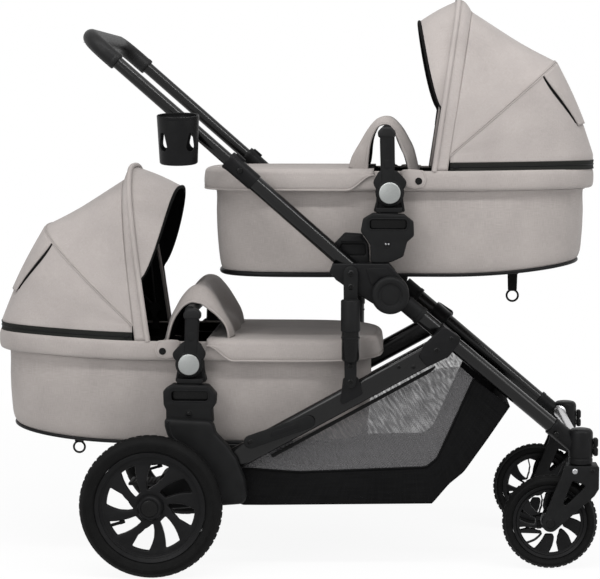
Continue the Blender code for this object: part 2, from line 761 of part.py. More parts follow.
def make_rear_leg(side, word):
    """Flat oval leg from its pivot under the front tube to the rear bracket."""
    half = LEG_HEIGHT / 2
    outline = []
    for degrees in range(-90, 91, 30):
        angle = math.radians(degrees)
        outline.append(leg_point(-half * math.cos(angle), half * math.sin(angle)))
    outline += [leg_point(LEG_LENGTH, half), leg_point(LEG_LENGTH, -half)]
    leg = plate([outline], side, LEG_OUT)
    foot_plate = rounded([(0.1000, 0.3300), (0.1457, 0.3550), (0.1360, 0.3880), (0.1070, 0.3880)], 0.006, 2)
    join(leg, plate([foot_plate], side, (LEG_OUT[1] - OVERLAP, STRUT_FOOT_PLATE_OUT)))
    cut(leg, pin(side, LEG_PIVOT, (LEG_OUT[0] - OVERSHOOT, LEG_OUT[1] + OVERSHOOT), LEG_PIN_RADIUS + GAP))
    keep(leg, f"rear_leg_{word}", TUBE_BLACK, "rear_leg_fold")


def cot_points(hub, facing, points):
    """Points given from a carrycot's hub, as X and Z."""
    return [(hub[0] + facing * u, hub[1] + z) for u, z in points]


def adapter_slot(hub, facing):
    """Outline of the long window in the socket's face."""
    corners = [(-0.0400, -0.0490), (-0.0400, -0.0710), (0.0347, -0.0710), (0.0347, -0.0490)]
    return rounded(cot_points(hub, facing, corners), 0.006, 1)


def tongue_cavity(hub, facing, side):
    """Cutter for the pocket that the carrycot's tongue drops into."""
    foot_end = hub[0] + facing * (COT_TONGUE_U[0] - RUNNING_GAP)
    head_end = hub[0] + facing * (COT_TONGUE_U[1] + RUNNING_GAP)
    out = (COT_TONGUE_OUT[0] - RUNNING_GAP, COT_TONGUE_OUT[1] + RUNNING_GAP)
    low = hub[1] + COT_TONGUE_Z[0] - RUNNING_GAP
    return box(sorted((foot_end, head_end)), span_out(side, out), (low, hub[1]))


def make_adapter(side, word):
    """Adapter on the knuckle block that carries the upper carrycot."""
    hub = UPPER_COT_HUB
    outline = cot_points(hub, 1, [
        (-0.0519, -0.0500), (-0.0326, -0.0387), (0.0280, -0.0414), (0.0464, -0.0555), (0.0473, -0.0822),
        (0.0341, -0.0941), (0.0269, -0.1222), (0.0078, -0.1312),
    ])
    foot = BLOCK_TOP + GAP
    outline += [(0.1900, foot), (0.1600, foot), (0.1590, 0.6450), (0.1400, 0.6710)]
    adapter = plate([rounded(outline, 0.006, 1), adapter_slot(hub, 1)], side, ADAPTER_OUT)
    cut(adapter, tongue_cavity(hub, 1, side))
    keep(adapter, f"cot_adapter_{word}", PLASTIC_BLACK, "fold")


def make_joint_block(side, word):
    """Knuckle that turns on the fold pin and holds the outer tube and the plain socket."""
    outline = [(0.0860, BLOCK_TOP), (0.1950, BLOCK_TOP), (0.2215, 0.5785)]
    outline += arc(HUB, KNUCKLE_RADIUS, 40, -130, 8)
    outline += [(0.1490, 0.5410), (0.1120, 0.5640), (0.0930, 0.5770), (0.0800, 0.5930)]
    block = plate([outline], side, BLOCK_OUT)
    socket = [
        (0.0880, 0.6000), (0.0880, 0.6460), (0.1087, 0.6676),
        (0.1415, 0.6656), (0.1550, 0.6450), (0.1580, 0.6000),
    ]
    slot = [(0.0960, 0.6225), (0.1500, 0.6225), (0.1480, 0.6448), (0.1010, 0.6448)]
    join(block, plate([rounded(socket, 0.004, 2), rounded(slot, 0.004, 2)], side, PLAIN_SOCKET_OUT))
    hub_middle = Vector((HUB[0], side * FRONT_TUBE_OUT_AT_HUB, HUB[1]))
    socket_reach = front_tube_axis(side) * (HUB_DRUM_RADIUS + HUB_SOCKET_LENGTH + OVERSHOOT)
    inner_face = BLOCK_OUT[0] - OVERSHOOT
    cut(
        block,
        pin(side, HUB, (inner_face, KNUCKLE_OUT), HUB_DRUM_RADIUS + KNUCKLE_CLEARANCE, ROUND_SIDES),
        pin(side, HUB, (inner_face, BLOCK_OUT[1] + OVERSHOOT), HUB_PIN_RADIUS + GAP, PIN_SIDES),
        rod(
            handle_point(OUTER_TUBE_SPAN[0] - GAP, HANDLE_OUT, side),
            handle_point(OUTER_TUBE_SPAN[0] + 0.12, HANDLE_OUT, side),
            OUTER_TUBE_RADIUS + 2 * GAP,
            PIN_SIDES,
        ),
        rod(hub_middle, hub_middle + socket_reach, FRONT_SOCKET_RADIUS + RUNNING_GAP * 2),
    )
    keep(block, f"joint_block_{word}", PLASTIC_BLACK, "fold")


def make_outer_tube(side, word):
    """Outer telescope tube with the collar round its mouth."""
    bore = INNER_TUBE_RADIUS + 2 * GAP
    start, end = OUTER_TUBE_SPAN
    collar = COLLAR_START
    profile = [
        (bore, end), (COLLAR_RADIUS - 0.003, end), (COLLAR_RADIUS, end - 0.006),
        (COLLAR_RADIUS, collar + 0.012), (COLLAR_RADIUS - 0.0015, collar),
        (OUTER_TUBE_RADIUS, collar - 0.001), (OUTER_TUBE_RADIUS, start), (bore, start),
    ]
    axis = handle_point(1.0) - handle_point(0.0)
    tube = turned(profile, handle_point(0.0, HANDLE_OUT, side), axis, PIN_SIDES, closed=True)
    at = handle_point(COLLAR_BUTTON_AT)
    well = (COLLAR_BUTTON_OUT[0] - COLLAR_BUTTON_TRAVEL - GAP, COLLAR_BUTTON_OUT[1] + OVERSHOOT)
    cut(tube, pin(side, (at.x, at.z), well, COLLAR_BUTTON_RADIUS + GAP))
    keep(tube, f"outer_tube_{word}", TUBE_BLACK, "fold")
    button = pin(side, (at.x, at.z), COLLAR_BUTTON_OUT, COLLAR_BUTTON_RADIUS)
    keep(button, f"collar_button_{word}", PLASTIC_BLACK, f"collar_button_{word}")


def handle_path(start, corner_steps=3):
    """The U of the handle, from one leg over the crossbar to the other."""
    points = []
    for side in (RIGHT, LEFT):
        leg = [handle_point(start, HANDLE_OUT, side)]
        for step in range(corner_steps + 1):
            angle = math.radians(90 * step / corner_steps)
            along = HANDLE_LENGTH - HANDLE_CORNER_RADIUS * (1 - math.sin(angle))
            out = HANDLE_OUT - HANDLE_CORNER_RADIUS * (1 - math.cos(angle))
            leg.append(handle_point(along, out, side))
        points += leg if side == RIGHT else leg[::-1]
    return points


def make_handlebar():
    """Bent inner tube, and the grip round its upper part."""
    bar = bent_tube(handle_path(INNER_TUBE_START), INNER_TUBE_RADIUS)
    keep(bar, "handlebar", TUBE_BLACK, "handle_slide")
    grip = bent_tube(handle_path(GRIP_START), GRIP_RADIUS)
    cut(grip, bent_tube(handle_path(GRIP_START - OVERSHOOT), INNER_TUBE_RADIUS + GAP))
    keep(grip, "handle_grip", GRIP_LEATHER, "handle_slide")


def make_cup_holder():
    """Open cup with four drop-shaped windows, and the clamp round the right tube."""
    low, high = CUP_Z
    wall = CUP_WALL
    floor, rim = CUP_FLOOR_RADIUS, CUP_RIM_RADIUS
    profile = [
        (0, low + wall), (floor - wall, low + wall), (rim - wall, high),
        (rim, high), (rim, high - CUP_LIP), (rim - wall / 2, high - CUP_LIP), (floor, low), (0, low),
    ]
    cup = turned(profile, (CUP_AT[0], CUP_AT[1], 0), (0, 0, 1), ROUND_SIDES)
    start = handle_point(CUP_CLAMP_AT - CUP_CLAMP_LENGTH / 2, HANDLE_OUT)
    end = handle_point(CUP_CLAMP_AT + CUP_CLAMP_LENGTH / 2, HANDLE_OUT)
    middle = (start + end) / 2
    over = (end - start).normalized() * OVERSHOOT
    near_wall = CUP_AT[1] + rim
    web = (near_wall - CUP_WEB_DEPTH, near_wall + CUP_WEB_DEPTH)
    half = CUP_CLAMP_LENGTH / 2
    join(
        cup,
        box((middle.x - half, middle.x + half), web, (middle.z - half, middle.z + half)),
        rod(start, end, CUP_CLAMP_RADIUS),
    )
    cut(
        cup,
        rod(start - over, end + over, INNER_TUBE_RADIUS + 2 * GAP),
        window_bar(-45),
        window_bar(45),
        rod((*CUP_AT, low + wall), (*CUP_AT, high + OVERSHOOT), floor - wall, ROUND_SIDES),
    )
    keep(cup, "cup_holder", PLASTIC_BLACK, "handle_slide")


def window_bar(turn_degrees):
    """Cutter for two opposite drop-shaped windows of the cup holder."""
    low = CUP_Z[0] + CUP_WINDOW_HEIGHT
    half = CUP_WINDOW_WIDTH / 2
    outline = arc((0, low), half, 180, 360, 4)
    outline += [(half * 0.7, low + 2 * half), (-half * 0.7, low + 2 * half)]
    reach = 2 * CUP_RIM_RADIUS
    bar = plate([outline], 1, (-reach, reach))
    turn = Matrix.Rotation(math.radians(turn_degrees), 4, "Z")
    bar.data.transform(Matrix.Translation((*CUP_AT, 0)) @ turn)
    return bar


def make_strut(side, word):
    """Folding side strut: two lugs and a stepped sleeve between them."""
    low, high = STRUT_SLEEVE_Z
    radius = STRUT_SLEEVE_RADIUS
    x = STRUT_TOP[0]
    half = STRUT_LUG_WIDTH / 2
    outline = arc(STRUT_TOP, half, 180, 0, 6) + arc(STRUT_FOOT, half * 0.8, 0, -180, 6)
    strut = plate([outline], side, STRUT_LUG_OUT)
    profile = [
        (0, high), (radius * 0.9, high), (radius, high - 0.004), (radius, STRUT_WAIST_Z),
        (radius - 0.001, STRUT_WAIST_Z), (radius - 0.001, low), (0, low),
    ]
    join(strut, turned(profile, (x, side * STRUT_SLEEVE_OUT, 0), (0, 0, 1), PIN_SIDES))
    keep(strut, f"side_strut_{word}", PLASTIC_BLACK, f"strut_{word}")


def make_rear_bracket(side, word):
    """Mudguard-shaped bracket with the lower carrycot's socket and the wheel's spindle."""
    hub = LOWER_COT_HUB
    guard = [
        (-0.2420, 0.3050), (-0.2420, 0.2900), (-0.2359, 0.2684), (-0.2150, 0.2480), (-0.2080, 0.2200),
        (-0.2250, 0.1850), (-0.2750, 0.1640), (-0.2900, 0.1400), (-0.2750, 0.1180), (-0.2300, 0.1250),
        (-0.0807, 0.1375), (-0.0841, 0.1808), (-0.1005, 0.2264), (-0.1196, 0.2528), (-0.1420, 0.2763),
        (-0.1480, 0.3000),
    ]
    bracket = plate([rounded(guard, 0.012, 1)], side, REAR_BRACKET_OUT)
    socket = cot_points(hub, -1, [
        (-0.0480, -0.1180), (-0.0460, -0.0860), (-0.0525, -0.0780), (-0.0540, -0.0580), (-0.0380, -0.0400),
        (0.0326, -0.0385), (0.0500, -0.0500), (0.0490, -0.0780), (0.0440, -0.0880), (0.0440, -0.1180),
    ])
    half = LEG_HEIGHT / 2 + GAP
    mouth = LEG_LENGTH - LEG_POCKET_DEPTH
    end = LEG_LENGTH + GAP
    pocket = [leg_point(mouth, half), leg_point(end, half), leg_point(end, -half), leg_point(mouth, -half)]
    inner_face = REAR_BRACKET_OUT[0] - OVERSHOOT
    join(
        bracket,
        plate([rounded(socket, 0.006, 1), adapter_slot(hub, -1)], side, ADAPTER_OUT),
        pin(side, REAR_AXLE, (REAR_BRACKET_OUT[1] - OVERLAP, SPINDLE_END_OUT), SPINDLE_RADIUS),
    )
    cut(bracket, tongue_cavity(hub, -1, side), plate([pocket], side, (inner_face, LEG_OUT[1] + GAP)))
    keep(bracket, f"rear_bracket_{word}", PLASTIC_BLACK, "rear_leg_fold")


def make_axle_tube():
    """Tube between the two rear brackets."""
    end = REAR_BRACKET_OUT[0] - GAP
    x, z = REAR_AXLE
    keep(rod((x, -end, z), (x, end, z), AXLE_TUBE_RADIUS), "rear_axle_tube", TUBE_BLACK, "rear_leg_fold")


def make_brake_pedal():
    """Brake pedal that turns on the axle tube."""
    x, z = REAR_AXLE
    half = PEDAL_WIDTH / 2
    pedal = rod((x, -half, z), (x, half, z), AXLE_TUBE_RADIUS + PEDAL_WALL, PIN_SIDES)
    low = z - AXLE_TUBE_RADIUS
    join(pedal, box((PEDAL_END_X, x - PEDAL_WALL), (-half, half), (low, low + PEDAL_THICKNESS)))
    over = half + OVERSHOOT
    cut(pedal, rod((x, -over, z), (x, over, z), AXLE_TUBE_RADIUS + 2 * GAP))
    keep(pedal, "brake_pedal", PLASTIC_BLACK, "brake_pedal")


def basket_half_width(x):
    """Half the basket's width, from behind the rear axle side to under the front tubes."""
    share = (x - BASKET_X[0]) / (BASKET_X[1] - BASKET_X[0])
    return BASKET_HALF_WIDTH_BACK + (BASKET_HALF_WIDTH_FRONT - BASKET_HALF_WIDTH_BACK) * share


def make_basket():
    """Shopping basket slung between the legs and under the front tubes, open at the top."""
    front = [(0.275, 0.130), (0.315, 0.1701), (0.3443, 0.1944), (0.3914, 0.2589)]
    drop = FRONT_TUBE_RADIUS / math.hypot(front_tube_axis(RIGHT).x, front_tube_axis(RIGHT).y) + 2 * GAP
    rail = []
    for share in BASKET_RAIL_SHARES:
        point = front_tube_point(share, RIGHT)
        rail.append((point.x, point.z - drop))
    outline = [(BASKET_X[0], 0.196), (-0.059, 0.130), *front, *rail, (0.2750, 0.3930)]
    floor_corners = len(outline) - len(rail)
    shape = bmesh.new()
    right = [shape.verts.new((x, -basket_half_width(x), z)) for x, z in outline]
    left = [shape.verts.new((x, basket_half_width(x), z)) for x, z in outline]
    shape.faces.new(right)
    shape.faces.new(left)
    for index in range(floor_corners - 1):
        shape.faces.new((right[index], right[index + 1], left[index + 1], left[index]))
    bmesh.ops.recalc_face_normals(shape, faces=shape.faces)
    keep(thicken(object_from_bmesh(shape), BASKET_WALL), "basket", BLACK_FABRIC)


def plan_half(half_width, head, foot):
    """Half of the carrycot's plan, from the head end round the side to the foot end."""
    power = 2 / COT_PLAN_POWER
    quarter = []
    for step in range(COT_PLAN_STEPS):
        angle = math.radians(COT_PLAN_START + (90 - COT_PLAN_START) * step / (COT_PLAN_STEPS - 1))
        quarter.append((max(math.cos(angle), 0) ** power, half_width * math.sin(angle) ** power))
    head_end = [(COT_HEAD_STRAIGHT + (head - COT_HEAD_STRAIGHT) * share, out) for share, out in quarter]
    foot_end = [(COT_FOOT_STRAIGHT + (foot - COT_FOOT_STRAIGHT) * share, out) for share, out in quarter]
    return head_end + foot_end[::-1]


def floor_height(u):
    """The outside of the carrycot's floor, which rises towards the head."""
    start, end = COT_FLOOR_RISE_U
    share = min(max((u - start) / (end - start), 0), 1)
    return COT_FLOOR + COT_FLOOR_RISE * share * share


def faces_outward(shell, centre):
    """Whether an open shell's faces point away from a point inside it."""
    score = sum((face.center - centre).dot(face.normal) * face.area for face in shell.data.polygons)
    return score > 0


class Carrycot:
    """One carrycot: u runs from its hub towards the head, z up from its hub."""

    def __init__(self, prefix, hub, facing):
        self.prefix = prefix
        self.hub = hub
        self.facing = facing
        self.lift = f"{prefix}_cot_lift"

    def place(self, u, y, z):
        """World place of a point of the carrycot."""
        return (self.hub[0] + self.facing * u, y, self.hub[1] + z)

    def at(self, u, z):
        """X and Z of a point on the side view."""
        return (self.hub[0] + self.facing * u, self.hub[1] + z)

    def u_span(self, low, high):
        """X span of two u values."""
        return tuple(sorted((self.hub[0] + self.facing * low, self.hub[0] + self.facing * high)))

    def z_span(self, low, high):
        """Z span of two heights."""
        return (self.hub[1] + low, self.hub[1] + high)

    def ring(self, half_width, head, foot, height):
        """A closed plan ring at a height that may change along the carrycot."""
        half = plan_half(half_width, head, foot)
        right = [self.place(u, -y, height(u)) for u, y in half]
        left = [self.place(u, y, height(u)) for u, y in half]
        return right + left[::-1]

    def make_body(self):
        """Tub with its side brackets, tongues, pivot pins, hood ears and ring tab."""
        width, head, foot = COT_BODY_HALF_WIDTH, COT_BODY_HEAD, COT_BODY_FOOT
        rows = [
            self.ring(COT_RIM_HALF_WIDTH, COT_RIM_HEAD, COT_RIM_FOOT, lambda u: COT_RIM_TOP),
            self.ring(COT_RIM_HALF_WIDTH, COT_RIM_HEAD, COT_RIM_FOOT, lambda u: COT_RIM_BOTTOM + 0.004),
            self.ring(width, head, foot, lambda u: COT_RIM_BOTTOM - 0.004),
            self.ring(width - 0.004, head - 0.004, foot + 0.006, lambda u: floor_height(u) + 0.020),
            self.ring(width - 0.018, head - 0.020, foot + 0.020, floor_height),
        ]
        shape = loft(rows, closed_rows=True)
        shape.verts.ensure_lookup_table()
        fill_ring(shape, shape.verts[-len(rows[0]):])
        bmesh.ops.recalc_face_normals(shape, faces=shape.faces)
        body = thicken(object_from_bmesh(shape), COT_WALL)
        for side in (RIGHT, LEFT):
            self.add_bracket(body, side)
        self.add_ring_tab(body)
        keep(body, f"{self.prefix}_cot_body", COT_FABRIC, self.lift)

    def add_ring_tab(self, body):
        """Webbing tab under the head end, with its metal ring."""
        u, y, z = TAB_AT
        half = TAB_WIDTH / 2
        y_span = (y - TAB_THICKNESS / 2, y + TAB_THICKNESS / 2)
        ring = arc(self.at(u, z - TAB_RING_DROP), RING_RADIUS, 104, 436, 12)
        join(
            body,
            box(self.u_span(u - half, u + half), y_span, self.z_span(z - TAB_LENGTH, z + OVERSHOOT)),
            bent_tube([(place_x, y, place_z) for place_x, place_z in ring], RING_WIRE, 0),
        )

    def add_bracket(self, body, side):
        """Side bracket with the neck and tongue that seat in the socket, and the hood's ear."""
        out = COT_BRACKET_OUT[1]
        ear_u = self.u_span(HOOD_PIVOT[0] - HOOD_EAR_HALF, HOOD_PIVOT[0] + HOOD_EAR_HALF)
        ear_z = self.z_span(COT_EAR_FOOT[0], HOOD_PIVOT[1] + HOOD_EAR_HALF)
        join(
            body,
            box(self.u_span(*COT_BRACKET_U), span_out(side, COT_BRACKET_OUT), self.z_span(*COT_BRACKET_Z)),
            pin(side, self.hub, (out - OVERSHOOT, out + 0.0015), COT_BOSS_RADIUS, ROUND_SIDES),
            box(self.u_span(*COT_NECK_U), span_out(side, COT_NECK_OUT), self.z_span(*COT_NECK_Z)),
            box(self.u_span(*COT_TONGUE_U), span_out(side, COT_TONGUE_OUT), self.z_span(*COT_TONGUE_Z)),
            pin(side, self.hub, (out - OVERLAP, COT_PIN_END_OUT), COT_PIN_RADIUS),
            box(ear_u, span_out(side, HOOD_EAR_OUT), ear_z),
            box(ear_u, span_out(side, HOOD_EAR_FOOT_OUT), self.z_span(*COT_EAR_FOOT)),
        )

    def make_mattress(self):
        """Mattress on the floor of the tub."""
        width = COT_BODY_HALF_WIDTH - MATTRESS_INSET
        head = COT_BODY_HEAD - MATTRESS_INSET - 0.008
        foot = COT_BODY_FOOT + MATTRESS_INSET + 0.010
        edge = MATTRESS_EDGE

        def height(share):
            return lambda u: floor_height(u) + COT_WALL + 2 * GAP + MATTRESS_THICKNESS * share

        rows = [
            self.ring(width - edge, head - edge, foot + edge, height(1)),
            self.ring(width, head, foot, height(0.72)),
            self.ring(width, head, foot, height(0.28)),
            self.ring(width - edge, head - edge, foot + edge, height(0)),
        ]
        shape = loft(rows, closed_rows=True, close_ends=True)
        keep(object_from_bmesh(shape), f"{self.prefix}_cot_mattress", MATTRESS_FABRIC, self.lift)

    def make_apron(self):
        """Cover over the foot half, with a skirt down over the rim."""
        grow = APRON_THICKNESS + GAP
        width = COT_RIM_HALF_WIDTH + grow
        outline = plan_half(width, COT_RIM_HEAD, COT_RIM_FOOT - grow)
        half = [(APRON_HEAD_EDGE, width)] + [point for point in outline if point[0] < APRON_HEAD_EDGE]
        top = COT_RIM_TOP + grow
        rows = []
        for u, y in half:
            rise = APRON_CORNER_RISE if u == APRON_HEAD_EDGE else 0
            crown = APRON_CROWN * (1 - (u / COT_RIM_FOOT) ** 4)
            profile = [
                (y, COT_RIM_BOTTOM - 0.001 + rise), (y, top),
                (y * 0.5, top + crown), (0.0, top + crown * 1.3),
            ]
            row = [self.place(u, -wide, z) for wide, z in profile]
            row += [self.place(u, wide, z) for wide, z in profile[-2::-1]]
            rows.append(row)
        shape = loft(rows)
        shape.verts.ensure_lookup_table()
        fill_ring(shape, shape.verts[-len(rows[0]):])
        bmesh.ops.recalc_face_normals(shape, faces=shape.faces)
        apron = object_from_bmesh(shape)
        thicken(apron, APRON_THICKNESS, faces_outward(apron, Vector(self.place(-0.15, 0, -0.05))))
        keep(apron, f"{self.prefix}_cot_apron", COT_FABRIC, self.lift)

    def arch(self, foot, crown, half_width, start=0.0, steps=HOOD_STEPS):
        """Points over the hood from one side to the other; foot and crown are from the pivot."""
        points = []
        power = 2 / COT_PLAN_POWER
        for step in range(steps + 1):
            angle = start + (math.pi - 2 * start) * step / steps
            rise = abs(math.sin(angle)) ** power
            out = -math.copysign(abs(math.cos(angle)) ** power, math.cos(angle))
            u, z = lerp(foot, crown, rise)
            points.append(self.place(HOOD_PIVOT[0] + u, half_width * out, HOOD_PIVOT[1] + z))
        return points

    def cloth_shell(self, rows, thickness):
        """A hood panel through rows of arches, thickened inwards."""
        shell = object_from_bmesh(loft(rows))
        pivot = Vector(self.place(HOOD_PIVOT[0], 0, HOOD_PIVOT[1]))
        return thicken(shell, thickness, faces_outward(shell, pivot))

    def make_hood(self):
        """Two canopy panels, the middle bow, and the front bow with its band and visor."""
        joint = f"{self.prefix}_hood_middle"
        clear = HOOD_SEAM_SHARE
        rear_foot = (0.0008, 0.0)
        base = self.arch(rear_foot, HOOD_REAR, HOOD_HALF_WIDTH)
        rows = [[(x, y, self.hub[1] + COT_RIM_TOP + 2 * GAP) for x, y, _ in base]]
        for share in (0.0, 0.34, 0.67, 1.0 - clear):
            crown = self.bulged(HOOD_REAR, HOOD_MIDDLE, share)
            rows.append(self.arch(rear_foot, crown, HOOD_HALF_WIDTH, HOOD_FOOT_ANGLE))
        keep(self.cloth_shell(rows, HOOD_CLOTH), f"{self.prefix}_canopy_rear", COT_FABRIC, joint)
        rows = []
        for share in (clear, 0.34, 0.67, 1.0 - clear):
            crown = self.bulged(HOOD_MIDDLE, HOOD_BAND_REAR, share)
            rows.append(self.arch((0.0, 0.0), crown, HOOD_HALF_WIDTH, HOOD_FOOT_ANGLE))
        keep(self.cloth_shell(rows, HOOD_CLOTH), f"{self.prefix}_canopy_front", COT_FABRIC, joint)
        self.make_middle_bow()
        self.make_front_bow()

    def bulged(self, first, last, share):
        """A crown between two bows, pushed out a little where the cloth swells."""
        u, z = lerp(first, last, share)
        length = math.hypot(u, z)
        swell = HOOD_BULGE * math.sin(math.pi * share)
        return (u + u / length * swell, z + z / length * swell)

    def make_middle_bow(self):
        """Wire bow under the seam of the two canopy panels."""
        inset = (HOOD_CLOTH + BOW_RADIUS + 0.001) / math.hypot(*HOOD_MIDDLE)
        crown = tuple(value * (1 - inset) for value in HOOD_MIDDLE)
        bow = bent_tube(self.arch((0, 0), crown, MIDDLE_BOW_HALF_WIDTH), BOW_RADIUS, 1)
        keep(bow, f"{self.prefix}_hood_middle_bow", BOW_STEEL, f"{self.prefix}_hood_middle")

    def make_front_bow(self):
        """Front bow: wire arch, wide cloth band and the visor in front of it."""
        width = HOOD_HALF_WIDTH
        drop = HOOD_BAND_FOOT_DROP
        rear = self.arch((HOOD_BAND_FOOT_REAR, -drop), HOOD_BAND_REAR, width)
        front = self.arch((HOOD_BAND_FOOT_FRONT, -drop), HOOD_BAND_FRONT, width)
        visor = []
        for step, place in enumerate(front):
            rise = math.sin(math.pi * step / HOOD_STEPS) ** (2 / COT_PLAN_POWER)
            reach = max((rise - 0.36) / 0.64, 0) ** 0.8
            du = (HOOD_VISOR[0] - HOOD_BAND_FRONT[0]) * reach - 0.002
            dz = (HOOD_VISOR[1] - HOOD_BAND_FRONT[1]) * reach
            visor.append((place[0] + self.facing * du, place[1], place[2] + dz))
        shell = self.cloth_shell([rear, front, visor], HOOD_BAND_CLOTH)
        crown = lerp(HOOD_BAND_REAR, HOOD_BAND_FRONT, 0.35)
        inset = (HOOD_BAND_CLOTH + 0.001) / math.hypot(*crown)
        crown = tuple(value * (1 - inset) for value in crown)
        join(shell, bent_tube(self.arch((0, 0), crown, FRONT_BOW_HALF_WIDTH), BOW_RADIUS, 1))
        keep(shell, f"{self.prefix}_hood_front_bow", COT_FABRIC, f"{self.prefix}_hood_front")

    def make_carry_handle(self):
        """Two arms with round hubs and caps, and the bar between them."""
        top = self.at(*CARRY_TOP)
        half = CARRY_ARM_WIDTH / 2
        top_half = half * 0.85
        bar_end = CARRY_ARM_OUT[0] + OVERLAP
        handle = rod((top[0], -bar_end, top[1]), (top[0], bar_end, top[1]), CARRY_BAR_RADIUS)
        arm = [
            self.at(-half, CARRY_ARM_FOOT), self.at(half, CARRY_ARM_FOOT),
            self.at(CARRY_TOP[0] + top_half, CARRY_ARM_TOP), self.at(CARRY_TOP[0] - top_half, CARRY_ARM_TOP),
        ]
        for side in (RIGHT, LEFT):
            cap_out = (CARRY_ARM_OUT[1] - OVERLAP, CARRY_CAP_OUT)
            join(
                handle,
                plate([rounded(arm, 0.006, 1)], side, CARRY_ARM_OUT),
                pin(side, self.hub, CARRY_ARM_OUT, CARRY_HUB_RADIUS, ROUND_SIDES),
                pin(side, self.hub, cap_out, CARRY_CAP_RADIUS, ROUND_SIDES),
            )
        bore_end = COT_PIN_END_OUT + RUNNING_GAP
        cut(handle, pin(RIGHT, self.hub, (-bore_end, bore_end), COT_PIN_RADIUS + GAP))
        keep(handle, f"{self.prefix}_carry_handle", PLASTIC_BLACK, f"{self.prefix}_carry_handle")

    def make_flap(self):
        """Cloth flap drawn up over the carry handle's bar, with its main folds."""
        profile = [
            (-0.0930, 0.0560), (-0.0760, 0.0790), (-0.0560, 0.1080), (-0.0380, 0.1350),
            (-0.0240, 0.1480), (-0.0100, 0.1508), (0.0040, 0.1480), (0.0200, 0.1320),
            (0.0350, 0.1050), (0.0460, 0.0800), (0.0540, 0.0540),
        ]
        rows = []
        for index, (u, z) in enumerate(profile):
            hang = max(index - 5, 0) / 5
            row = []
            for column in range(FLAP_COLUMNS + 1):
                share = column / FLAP_COLUMNS
                y = FLAP_HALF_WIDTH * (2 * share - 1)
                fold = FLAP_FOLD_DEPTH * hang * math.sin(2 * math.pi * FLAP_FOLDS * share)
                row.append(self.place(u + fold, y, z + fold * 0.4))
            rows.append(row)
        flap = object_from_bmesh(loft(rows))
        thicken(flap, FLAP_THICKNESS, faces_outward(flap, Vector(self.place(-0.015, 0, 0.06))))
        keep(flap, f"{self.prefix}_handle_flap", COT_FABRIC, f"{self.prefix}_carry_handle")

    def make(self):
        """Build every piece of the carrycot."""
        hub_place = (self.hub[0], 0, self.hub[1])
        hood_place = self.place(HOOD_PIVOT[0], 0, HOOD_PIVOT[1])
        joint_empty(self.lift, hub_place)
        joint_empty(f"{self.prefix}_carry_handle", hub_place)
        joint_empty(f"{self.prefix}_hood_middle", hood_place)
        joint_empty(f"{self.prefix}_hood_front", hood_place)
        self.make_body()
        self.make_mattress()
        self.make_apron()
        self.make_hood()
        self.make_carry_handle()
        self.make_flap()


def make_joint_empties():
    """Empties on the joint axes of the chassis."""
    joint_empty("fold", (HUB[0], 0, HUB[1]))
    joint_empty("rear_leg_fold", (LEG_PIVOT[0], 0, LEG_PIVOT[1]))
    joint_empty("handle_slide", handle_point(0.0))
    joint_empty("brake_pedal", (REAR_AXLE[0], 0, REAR_AXLE[1]))
    button = handle_point(COLLAR_BUTTON_AT)
    for side, word in SIDES:
        joint_empty(f"strut_{word}", (STRUT_TOP[0], side * STRUT_LUG_OUT[0], STRUT_TOP[1]))
        joint_empty(f"collar_button_{word}", (button.x, side * COLLAR_BUTTON_OUT[0], button.z))
        joint_empty(f"caster_{word}", (CASTER_AXIS_X, side * CASTER_OUT, CASTER_BARREL_Z[0]))
        joint_empty(f"front_wheel_{word}", (FRONT_AXLE[0], side * CASTER_OUT, FRONT_AXLE[1]))
        joint_empty(f"rear_wheel_{word}", (REAR_AXLE[0], side * REAR_WHEEL_OUT, REAR_AXLE[1]))
        joint_empty(f"swivel_lock_{word}", (LOCK_LEVER_X[0], side * CASTER_OUT, LOCK_LEVER_Z[1]))


def main():
    """Build the pram."""
    make_joint_empties()
    for side, word in SIDES:
        make_front_tube(side, word)
        make_hub_housing(side, word)
        make_leg_pivot_bracket(side, word)
        make_caster_housing(side, word)
        make_swivel_lock(side, word)
        make_caster_fork(side, word)
        make_front_wheel(side, word)
        make_rear_wheel(side, word)
        make_rear_leg(side, word)
        make_rear_bracket(side, word)
        make_joint_block(side, word)
        make_adapter(side, word)
        make_outer_tube(side, word)
        make_strut(side, word)
    make_cross_tube()
    make_axle_tube()
    make_brake_pedal()
    make_handlebar()
    make_cup_holder()
    make_basket()
    Carrycot("upper", UPPER_COT_HUB, 1).make()
    Carrycot("lower", LOWER_COT_HUB, -1).make()


main()
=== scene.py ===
"""Finished look of a tandem pram with two carrycots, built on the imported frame.

Metres, +Z up, +X towards the front wheels, the right side at -Y, the origin on the ground.
"""

from __future__ import annotations

import logging
from dataclasses import dataclass, field
from enum import Enum
from math import atan2, cos, dist, hypot, pi, radians, sin, tan
from typing import Callable, Sequence

import bmesh
import bpy
from mathutils import Matrix, Vector


